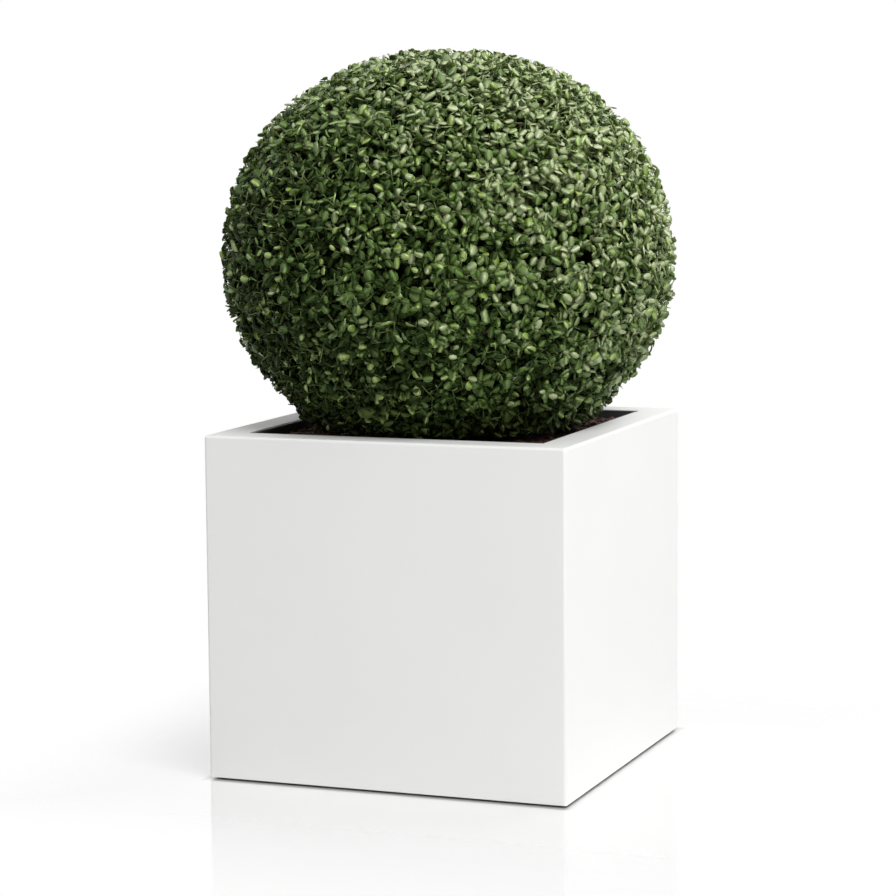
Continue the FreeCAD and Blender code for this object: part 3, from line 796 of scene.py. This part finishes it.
class PLANTER_OT_fillings(bpy.types.Operator):
    """Fill the liner with fleece, compost, bark bed and bark chips"""
    bl_idname = "planter.fillings"
    bl_label = "Compost and bark"

    def execute(self, context):
        settings = context.scene.planter_liner
        compost = moist_compost(settings.compost)
        fleece = dress(fleece_sheet(), "liner", [felt()], ["root_fleece"])
        soil = roughened(
            "compost_fill", "soil", size=22 * MM, depth=2.5 * MM, seed=3, cuts=3, longest=22 * MM)
        dress(soil, "liner", [compost], ["soil"])
        bed = roughened(
            "bark_bed", "bark_mulch", size=18 * MM, depth=5 * MM, seed=7, cuts=4, longest=12 * MM)
        bark = pine_bark(settings.bark_dark, settings.bark_light)
        dress(bed, "liner", [compost], ["bark_mulch"])
        dress(bark_chips(settings), "liner", [bark], ["bark_mulch"])
        return {"FINISHED"}


# Plant

# The clipped ball: its widest level, the radius of its flat foot and of the opening round the
# trunk there, how square its dome is, where 2 is an ellipse, steps along its outline, and the
# share of its size under which a point counts as its middle
BALL_MIDDLE = 670 * MM
BALL_FOOT = 179 * MM
TRUNK_OPENING = 60 * MM
BALL_POWER = 2.17
OUTLINE_STEPS = 800
BALL_CORE = 0.01
# Turn from one place on the ball to the next, which spreads them evenly, and its scatter
GOLDEN_TURN = math.pi * (3 - math.sqrt(5))
TURN_SCATTER = 0.02
# Leaf shapes in the mix: width, droop of the tip and rise of the edges
LEAF_SHAPES = ((1.0, 0.10, -0.06), (0.92, 0.18, -0.10), (1.06, 0.04, -0.04), (0.96, 0.22, 0.05))
# A leaf's rows from base to tip: how far along, share of the width, lift, share of the droop
LEAF_ROWS = ((0, 0, 0, 0), (0.18, 0.76, 0.02, 0), (0.5, 1.0, 0, 0), (0.88, 0.68, 0, 0.5), (1, 0, 0, 1))
LEAF_THICKNESS = 0.035
# Points of a leaf one unit long that are nearer than this are one
SAME_PLACE = 1e-4
# A sprig: pairs of leaves under its tip, its bare tip and leafy length as shares of its length,
# leans of the leaves from the shoot at its foot and tip in degrees, and the leaves' scatter
PAIRS = (2, 3, 3)
BARE_TIP, LEAFY = 0.06, 0.84
FOOT_LEAN, TIP_LEAN, LEAN_SCATTER = 88, 52, 16
LEAF_SIZES = (0.68, 1.08)
LEAF_TURN = 0.3
LEAF_ROLL = 0.5
LEAF_STALK = 1 * MM
SPRIG_TONES = 0.12
SPRIG_PATTERNS = 24
# Depths of the sprigs' tips below the outline in mm, in three layers, and the shares of the
# sprigs that lie in the first layer and in the first two
OUTER, UNDER, INNER = (0, 8), (8, 24), (24, 80)
OUTER_SHARE, UPPER_SHARE = 0.58, 0.76
# Change of depth in mm of the sprigs near the ball's foot, and how far up from it they grow
FOOT_DEPTHS, FOOT_RISE = (-6, 20), 55 * MM
# How much sprigs turn up to the light and scatter from straight out, how their sizes vary, and
# how much larger the deep ones are
TURN_UP, HEADING_SCATTER = 0.25, 0.42
SPRIG_SIZES = (0.84, 1.12)
DEEP_GROWTH = 0.5
# How a leaf's tone, from old and shaded, 0, to young, 1, follows the light as painted light,
# paler on the side that faces the lamps, patches of growth of one width, the depth in the
# ball, which darkens deep leaves partly for age and partly as painted shade, chance and the
# way along the sprig
TONE_START, TONE_BY_PAINTED_LIGHT, TONE_BY_PATCH, TONE_BY_DEPTH = 0.29, 0.57, 0.18, -0.5
PATCH_WIDTH = 70 * MM
SPRIG_TONE_SCATTER, LEAF_TONE_SCATTER = 0.10, 0.15
TIP_TONE = 0.1
# Young growth: the share of sprigs that have it, their greatest depth and what it adds to the
# tone at their tips, and the share of single young leaves and what that adds
YOUNG_SHARE, YOUNG_DEPTH, YOUNG_TONE = 0.07, 14 * MM, 0.5
FRESH_SHARE, FRESH_TONE = 0.10, 2.0
# Least depth of a sprig's foot, and least height of leaves above the ball's flat foot
SPRIG_COVER = 6 * MM
BARK_GAP = 5 * MM
SECTORS = 10
# Shoots and twigs: sides, radius as a share of the length, and bends of the twigs
SHOOT_SIDES, SHOOT_RADIUS = 4, 0.04
TWIG_SIDES, TWIG_RADIUS = 5, 0.022
TWIG_BENDS = (0.05, 0.09, 0.14)
# Twigs: depths of their tips and their lengths in mm, scatter of their headings, and the least
# depth of their feet
TWIG_DEPTHS, TWIG_LENGTHS = (12, 26), (50, 95)
TWIG_SCATTER = 0.5
TWIG_COVER = 20 * MM


def blade_rows(work, rows):
    """Shape a grid's rows, from the leaf's base to its tip, as (level, width, lift)."""
    levels = sorted({round(vert.co.y, 5) for vert in work.verts})
    found = [[vert for vert in work.verts if abs(vert.co.y - level) < SAME_PLACE] for level in levels]
    for level, row, (along, width, lift) in zip(levels, found, rows):
        bmesh.ops.scale(work, vec=(width, 1, 1), verts=row)
        bmesh.ops.translate(work, vec=(0, along - level, lift), verts=row)


def leaf_template(name, width, droop, keel):
    """A closed oval leaf one unit long, base at the origin, tip along +Y, upper side +Z."""
    work = bmesh.new()
    bmesh.ops.create_grid(work, x_segments=2, y_segments=4, size=0.5)
    blade = work.loops.layers.uv.new("blade")
    for face in work.faces:
        for loop in face.loops:
            loop[blade].uv = (loop.vert.co.x + 0.5, loop.vert.co.y + 0.5)
    blade_rows(work, [(along, share * width, lift - sag * droop) for along, share, lift, sag in LEAF_ROWS])
    edge_verts = [vert for vert in work.verts if abs(vert.co.x) > SAME_PLACE]
    bmesh.ops.translate(work, vec=(0, 0, keel), verts=edge_verts)
    bmesh.ops.remove_doubles(work, verts=work.verts, dist=SAME_PLACE)
    upper = work.verts[:] + work.edges[:] + work.faces[:]
    lower = bmesh.ops.duplicate(work, geom=upper)["geom"]
    lower_faces = [item for item in lower if isinstance(item, bmesh.types.BMFace)]
    lower_middle = [item for item in lower if isinstance(item, bmesh.types.BMVert)
                    and abs(item.co.x) < SAME_PLACE < item.co.y < 1 - SAME_PLACE]
    for face in lower_faces:
        for loop in face.loops:
            loop[blade].uv.y += 1
    bmesh.ops.reverse_faces(work, faces=lower_faces)
    bmesh.ops.translate(work, vec=(0, 0, -LEAF_THICKNESS), verts=lower_middle)
    bmesh.ops.remove_doubles(work, verts=work.verts, dist=SAME_PLACE)
    return template(name, work, 0)


def shoot_template(name, material_index, sides, radius, bend=0):
    """A round tapered shoot one unit long, with its tip at the origin and its foot at -Z."""
    work = bmesh.new()
    bmesh.ops.create_cone(work, cap_ends=True, segments=sides, radius1=radius, radius2=radius / 2,
                          depth=1, matrix=Matrix.Translation((0, 0, -0.5)))
    if bend:
        long_edges = [edge for edge in work.edges if edge.calc_length() > 0.5]
        bmesh.ops.subdivide_edges(work, edges=long_edges, cuts=3)
        for vert in work.verts:
            vert.co.x += bend * math.sin(math.pi * vert.co.z)
    for face in work.faces:
        face.material_index = material_index
    return template(name, work, MIDDLE_TONE)


def sprig_pattern(draw, settings):
    """Leaves of one shoot tip, as (matrix, tone, share of the way to the tip).

    The shoot's tip is at the origin and its foot at -Z. Leaves grow in crossed pairs that
    stand out at the foot and close up at the tip.
    """
    leaves = []
    pairs = draw.choice(PAIRS)
    start = draw.uniform(0, math.pi)
    for pair in range(pairs + 1):
        share = pair / pairs
        level = -settings.sprig_length * (LEAFY * (1 - share) + BARE_TIP)
        lean = math.radians(
            FOOT_LEAN + (TIP_LEAN - FOOT_LEAN) * share ** 1.5 + draw.uniform(-LEAN_SCATTER, LEAN_SCATTER))
        # Leaves are largest a third of the way up the sprig, and smallest at its tip
        grown = (0.92 + 0.4 * share - 0.56 * share ** 2) * draw.uniform(*LEAF_SIZES)
        for side in range(2):
            turn = start + pair * math.pi / 2 + side * math.pi + draw.uniform(-LEAF_TURN, LEAF_TURN)
            place = (Matrix.Translation((0, 0, level)) @ Matrix.Rotation(turn, 4, "Z")
                     @ Matrix.Rotation(math.pi / 2 - lean, 4, "X")
                     @ Matrix.Rotation(draw.uniform(-LEAF_ROLL, LEAF_ROLL), 4, "Y")
                     @ Matrix.Translation((0, LEAF_STALK, 0))
                     @ Matrix.Scale(settings.leaf_length * grown, 4))
            leaves.append((np.array(place), draw.uniform(-SPRIG_TONES, SPRIG_TONES), share))
    return leaves


def ball_radius(level):
    """Radius of the ball's clipped outline at levels."""
    above = np.clip((level - BALL_MIDDLE) / (CROWN_HIGH.z - BALL_MIDDLE), 0, 1)
    below = np.clip((BALL_MIDDLE - level) / (BALL_MIDDLE - CROWN_LOW.z), 0, 1)
    dome = CROWN_HIGH.x * (1 - above ** BALL_POWER) ** (1 / BALL_POWER)
    return np.where(level > BALL_MIDDLE, dome, CROWN_HIGH.x - (CROWN_HIGH.x - BALL_FOOT) * below ** 2)


def stands_out(points):
    """How far points stand out past the ball's clipped outline."""
    radius = np.hypot(points[:, 0], points[:, 1])
    rise = np.maximum(points[:, 2] - BALL_MIDDLE, 0)
    across = radius / CROWN_HIGH.x
    up = rise / (CROWN_HIGH.z - BALL_MIDDLE)
    size = np.maximum((across ** BALL_POWER + up ** BALL_POWER) ** (1 / BALL_POWER), BALL_CORE)
    dome = (1 - 1 / size) * np.hypot(radius, rise)
    side = radius - ball_radius(points[:, 2])
    out = np.where(points[:, 2] > BALL_MIDDLE, dome, side)
    return np.maximum(out, CROWN_LOW.z - points[:, 2])


def ball_places(count, rng):
    """Places spread evenly over the ball's outline, and the directions outwards there."""
    levels = np.linspace(CROWN_LOW.z, CROWN_HIGH.z, OUTLINE_STEPS)
    radii = ball_radius(levels)
    slant = np.hypot(np.diff(levels), np.diff(radii))
    area = np.concatenate([[0], np.cumsum(slant * (radii[1:] + radii[:-1]) / 2)])
    share = (np.arange(count) + rng.random(count)) / count
    level = np.interp(share * area[-1], area, levels)
    turn = GOLDEN_TURN * np.arange(count) + rng.uniform(-TURN_SCATTER, TURN_SCATTER, count)
    middle = (levels[1:] + levels[:-1]) / 2
    up = np.interp(level, middle, -np.diff(radii) / slant)
    out = np.sqrt(np.maximum(1 - up ** 2, 0))
    radius = ball_radius(level)
    places = np.stack([radius * np.cos(turn), radius * np.sin(turn), level], axis=1)
    outwards = np.stack([out * np.cos(turn), out * np.sin(turn), up], axis=1)
    return places, outwards


def foot_places(count, rng):
    """Places spread over the ball's flat foot, outside the opening round the trunk, facing down."""
    radius = np.sqrt(rng.uniform(TRUNK_OPENING ** 2, BALL_FOOT ** 2, count))
    turn = rng.uniform(0, 2 * math.pi, count)
    places = np.stack([radius * np.cos(turn), radius * np.sin(turn), np.full(count, CROWN_LOW.z)], axis=1)
    return places, np.tile([0.0, 0.0, -1.0], (count, 1))


def unit(vectors):
    """Vectors of length one."""
    return vectors / np.linalg.norm(vectors, axis=1, keepdims=True)


def frames_along(headings, places, sizes, rng):
    """Matrices that bring +Z to headings, with a random spin, a size and a place each."""
    beside = unit(np.cross(headings, rng.normal(size=headings.shape)))
    matrices = np.zeros((len(places), 4, 4))
    matrices[:, :3, 0] = beside * sizes[:, None]
    matrices[:, :3, 1] = np.cross(headings, beside) * sizes[:, None]
    matrices[:, :3, 2] = headings * sizes[:, None]
    matrices[:, :3, 3] = places
    matrices[:, 3, 3] = 1
    return matrices


def sprig_frames(settings, rng):
    """Matrices of all shoot tips, their depths below the outline and their tones.

    Most tips end just under the clipped outline, some lie deeper, and a last layer of
    larger leaves closes the view into the ball. The tones are painted paler on the side that
    faces the lamps, and darker with depth, for older leaves and as painted shade.
    """
    places, outwards = ball_places(settings.sprig_count, rng)
    foot, down = foot_places(settings.foot_count, rng)
    places = np.concatenate([places, foot])
    outwards = np.concatenate([outwards, down])
    count = len(places)
    layer = rng.random(count)
    depths = np.select(
        [layer < OUTER_SHARE, layer < UPPER_SHARE], [rng.uniform(*OUTER, count), rng.uniform(*UNDER, count)],
        rng.uniform(*INNER, count)) * MM
    headings = unit(outwards + [0, 0, TURN_UP] + rng.normal(scale=HEADING_SCATTER, size=places.shape))
    deepest_seen = UNDER[1] * MM
    sizes = rng.uniform(*SPRIG_SIZES, count) * (1 + DEEP_GROWTH * (depths > deepest_seen))
    near_foot = np.clip(1 - (places[:, 2] - CROWN_LOW.z) / FOOT_RISE, 0, 1)
    depths += rng.uniform(*FOOT_DEPTHS, count) * MM * near_foot
    patches = np.array([noise.noise(Vector(place) / PATCH_WIDTH) for place in places])
    # Paler tones on the side that faces the lamps: painted light
    painted_light = outwards @ np.array(Vector(settings.painted_light_side).normalized())
    # Darker tones deeper in the ball: partly older leaves, partly painted shade
    depth_age_and_shade = np.minimum(depths / deepest_seen, 1)
    tones = (TONE_START + TONE_BY_PAINTED_LIGHT * painted_light + TONE_BY_PATCH * patches
             + rng.normal(scale=SPRIG_TONE_SCATTER, size=count) + TONE_BY_DEPTH * depth_age_and_shade)
    return frames_along(headings, places - outwards * depths[:, None], sizes, rng), depths, tones


def leaf_pieces(settings):
    """The leaves and shoots of the ball, in sectors round its axis."""
    draw = random.Random(settings.seed)
    rng = np.random.default_rng(settings.seed)
    ratio = settings.leaf_width / settings.leaf_length
    blades = [leaf_template(f"blade_{number}", ratio * wide, droop, keel)
              for number, (wide, droop, keel) in enumerate(LEAF_SHAPES)]
    templates = blades + [shoot_template("green_shoot", 1, SHOOT_SIDES, SHOOT_RADIUS)]
    patterns = [sprig_pattern(draw, settings) for _ in range(SPRIG_PATTERNS)]
    frames, depths, tones = sprig_frames(settings, rng)
    rooted = stands_out(frames[:, :3, 3] - frames[:, :3, 2] * settings.sprig_length) < -SPRIG_COVER
    frames, depths, tones = frames[rooted], depths[rooted], tones[rooted]
    young = (rng.random(len(frames)) < YOUNG_SHARE) & (depths < YOUNG_DEPTH)
    chosen = rng.integers(len(patterns), size=len(frames))
    matrices, shades, picks = [], [], []
    for number, pattern in enumerate(patterns):
        mine = np.flatnonzero(chosen == number)
        for matrix, shade, share in pattern:
            matrices.append(frames[mine] @ matrix)
            fresh = young[mine] * YOUNG_TONE * share + FRESH_TONE * (rng.random(len(mine)) < FRESH_SHARE)
            scatter = rng.normal(scale=LEAF_TONE_SCATTER, size=len(mine))
            shades.append(tones[mine] + shade + TIP_TONE * share + fresh + scatter)
            picks.append(rng.integers(len(blades), size=len(mine)))
        matrices.append(frames[mine] @ np.diag([settings.sprig_length] * 3 + [1]))
        shades.append(np.zeros(len(mine)))
        picks.append(np.full(len(mine), len(blades)))
    matrices, shades, picks = np.concatenate(matrices), np.concatenate(shades), np.concatenate(picks)
    tips = matrices[:, :3, 3] + matrices[:, :3, 1] * (picks < len(blades))[:, None]
    above_bark = np.minimum(tips[:, 2], matrices[:, 2, 3]) > CROWN_LOW.z + BARK_GAP
    kept = (stands_out(tips) < settings.trim) & (stands_out(matrices[:, :3, 3]) < 0) & above_bark
    turns = np.arctan2(matrices[:, 1, 3], matrices[:, 0, 3]) / (2 * math.pi) % 1
    pieces = []
    for sector in range(SECTORS):
        mine = kept & (np.floor(turns * SECTORS) == sector)
        pieces.append(planted(f"leaves_{sector + 1}", templates, picks[mine], matrices[mine], shades[mine]))
    return pieces


def twig_piece(settings):
    """Bare twigs that carry the sprigs and show in the gaps."""
    rng = np.random.default_rng(settings.seed + 1)
    templates = [shoot_template(f"twig_{number}", 0, TWIG_SIDES, TWIG_RADIUS, bend)
                 for number, bend in enumerate(TWIG_BENDS)]
    places, outwards = ball_places(settings.twig_count, rng)
    count = len(places)
    headings = unit(outwards + rng.normal(scale=TWIG_SCATTER, size=places.shape))
    tips = places - outwards * (rng.uniform(*TWIG_DEPTHS, count) * MM)[:, None]
    matrices = frames_along(headings, tips, rng.uniform(*TWIG_LENGTHS, count) * MM, rng)
    matrices = matrices[stands_out(matrices[:, :3, 3] - matrices[:, :3, 2]) < -TWIG_COVER]
    picks = rng.integers(len(templates), size=len(matrices))
    return planted("woody_twigs", templates, picks, matrices, np.zeros(len(matrices)))


class PLANTER_OT_crown(bpy.types.Operator):
    """Grow the clipped ball from sprigs and twigs"""
    bl_idname = "planter.crown"
    bl_label = "Boxwood ball"

    def execute(self, context):
        settings = context.scene.planter_crown
        leaf = box_leaf(settings)
        shoot = green_shoot(settings.shoot)
        bark = boxwood_bark(settings.twig)
        for piece in leaf_pieces(settings):
            dress(piece, "plant", [leaf, shoot], ["crown"])
        dress(twig_piece(settings), "plant", [bark], ["crown"])
        paint_node("stem", bark)
        ball = roughened(
            "rooted_ball", "root_ball", size=16 * MM, depth=4 * MM, seed=5, cuts=3, longest=22 * MM)
        earth = rooted_compost(linear("#3A2C20"))
        dress(ball, "plant", [earth], ["root_ball"])
        return {"FINISHED"}


# Stage

# The camera's sensor in mm, and how far it sees in metres
SENSOR_WIDTH = 36
VIEW_REACH = 100
# The lamps look at this point, and are this wide in metres
LAMP_AIM = (0, 0, 0.5)
KEY_WIDTH, FILL_WIDTH, BACK_WIDTH = 3.0, 1.8, 2.6
# Half the floor's width in metres, where the bright floor beside the object starts and is
# full, which leaves a painted contact shadow in a thin strip along the shell's lower edge,
# and where its shadow starts to fade
FLOOR_REACH = 20
GLOW_START, GLOW_FULL = -4 * MM, 14 * MM
SHADOW_FULL = 40 * MM


def seen_or_mirrored(tree):
    """1 for rays from the camera, mirrors and glass, and 0 for the light on the object."""
    rays = add_node(tree, "LightPath").outputs
    mirrored = add_node(tree, "Math", {
        0: rays["Is Glossy Ray"], 1: rays["Is Transmission Ray"]}, operation="MAXIMUM")
    return add_node(tree, "Math", {0: rays["Is Camera Ray"], 1: mirrored}, operation="MAXIMUM")


def studio_floor(settings):
    """White studio floor with a faint polish, which shows the object's shadow and mirror image.

    The camera and mirror rays see shadow and mirror image fade to white away from the
    object, and a thin painted contact shadow along the shell's lower edge; for all other
    light the floor is plain matt white.
    """
    material, tree = new_material("studio_floor")
    matt = add_node(tree, "BsdfPrincipled", {"Base Color": (0.85, 0.85, 0.85, 1), "Roughness": 0.8})
    place = add_node(tree, "TexCoord").outputs["Object"]
    flat = add_node(tree, "VectorMath", {0: place}, operation="ABSOLUTE")
    sides = add_node(tree, "SeparateXYZ", {"Vector": flat}).outputs
    widest = add_node(tree, "Math", {0: sides["X"], 1: sides["Y"]}, operation="MAXIMUM")
    away = add_node(tree, "Math", {0: widest, 1: SHELL_HIGH.x}, operation="SUBTRACT")
    # The glow is held back under the shell and along its lower edge: a painted contact shadow
    glow = add_node(tree, "MapRange", {
        "Value": away, "From Min": GLOW_START, "From Max": GLOW_FULL, "To Max": settings.glow},
        interpolation_type="SMOOTHSTEP")
    fade = add_node(tree, "MapRange", {
        "Value": away, "From Min": SHADOW_FULL, "From Max": settings.shadow_reach},
        interpolation_type="SMOOTHSTEP")
    mirror = add_node(tree, "MapRange", {
        "Value": away, "From Max": settings.mirror_reach, "To Min": settings.polish, "To Max": 0},
        interpolation_type="SMOOTHSTEP")
    lit = add_node(tree, "AddShader", {
        0: add_node(tree, "BsdfDiffuse", {"Color": (0.5, 0.5, 0.5, 1)}),
        1: add_node(tree, "Emission", {"Strength": glow})})
    ground = add_node(tree, "MixShader", {"Fac": fade, 1: lit, 2: add_node(tree, "Emission")})
    polish = add_node(tree, "BsdfAnisotropic", {"Color": (1, 1, 1, 1), "Roughness": 0.1})
    shown = add_node(tree, "MixShader", {"Fac": mirror, 1: ground, 2: polish})
    mix = add_node(tree, "MixShader", {"Fac": seen_or_mirrored(tree), 1: matt, 2: shown})
    add_node(tree, "OutputMaterial", {"Surface": mix})
    return material


def studio_world(strength):
    """Even light from all round, which the camera and mirrors see as white."""
    world = bpy.data.worlds.new("studio")
    world.use_nodes = True
    tree = world.node_tree
    tree.nodes.clear()
    level = add_node(tree, "MapRange", {"Value": seen_or_mirrored(tree), "To Min": strength})
    shine = add_node(tree, "Background", {"Color": (1, 1, 1, 1), "Strength": level})
    add_node(tree, "OutputWorld", {"Surface": shine})
    bpy.context.scene.world = world


def softbox(name, place, width, power):
    """A square area lamp that looks at the object."""
    lamp = bpy.data.lights.new(name, "AREA")
    lamp.shape = "SQUARE"
    lamp.size = width
    lamp.energy = power
    holder = bpy.data.objects.new(name, lamp)
    holder.location = place
    holder.rotation_euler = (Vector(LAMP_AIM) - Vector(place)).to_track_quat("-Z", "Y").to_euler()
    bpy.context.scene.collection.objects.link(holder)


class PLANTER_OT_stage(bpy.types.Operator):
    """Set the floor, lamps, world and camera"""
    bl_idname = "planter.stage"
    bl_label = "Stage"

    def execute(self, context):
        settings = context.scene.planter_stage
        scene = context.scene
        work = bmesh.new()
        bmesh.ops.create_grid(work, x_segments=1, y_segments=1, size=FLOOR_REACH)
        floor = shaped("studio_floor", work)
        floor.data.materials.append(studio_floor(settings))
        studio_world(settings.sky)
        softbox("key_lamp", settings.key_place, KEY_WIDTH, settings.key_power)
        softbox("fill_lamp", settings.fill_place, FILL_WIDTH, settings.fill_power)
        softbox("back_lamp", settings.back_place, BACK_WIDTH, settings.back_power)
        camera = bpy.data.cameras.new("camera")
        camera.sensor_width = SENSOR_WIDTH
        camera.lens = settings.lens
        camera.clip_end = VIEW_REACH
        eye = bpy.data.objects.new("camera", camera)
        turn = (Matrix.Rotation(settings.yaw, 4, "Z") @ Matrix.Rotation(math.pi / 2 - settings.pitch, 4, "X")
                @ Matrix.Rotation(settings.roll, 4, "Z"))
        eye.matrix_world = Matrix.Translation(settings.eye) @ turn
        scene.collection.objects.link(eye)
        scene.camera = eye
        scene.view_settings.view_transform = "Standard"
        return {"FINISHED"}


class PLANTER_PT_panel(bpy.types.Panel):
    """Lists the steps that dress the planter"""
    bl_idname = "PLANTER_PT_panel"
    bl_label = "Planter"
    bl_space_type = "VIEW_3D"
    bl_region_type = "UI"
    bl_category = "Planter"

    def draw(self, context):
        for step in STEPS:
            self.layout.operator(step.bl_idname)


STEPS = (PLANTER_OT_shell, PLANTER_OT_fittings, PLANTER_OT_fillings, PLANTER_OT_crown, PLANTER_OT_stage)
GROUPS = {
    "planter_shell": PlanterShellSettings,
    "planter_liner": PlanterLinerSettings,
    "planter_crown": PlanterCrownSettings,
    "planter_stage": PlanterStageSettings,
}
CLASSES = (*GROUPS.values(), *STEPS, PLANTER_PT_panel)


def register():
    """Register the settings, the operators and the panel."""
    for each in CLASSES:
        bpy.utils.register_class(each)
    for name, group in GROUPS.items():
        setattr(bpy.types.Scene, name, bpy.props.PointerProperty(type=group))


def unregister():
    """Take them away again."""
    for name in GROUPS:
        delattr(bpy.types.Scene, name)
    for each in reversed(CLASSES):
        bpy.utils.unregister_class(each)


def main():
    """Run every step."""
    register()
    bpy.ops.planter.shell()
    bpy.ops.planter.fittings()
    bpy.ops.planter.fillings()
    bpy.ops.planter.crown()
    bpy.ops.planter.stage()


if __name__ == "__main__":
    main()
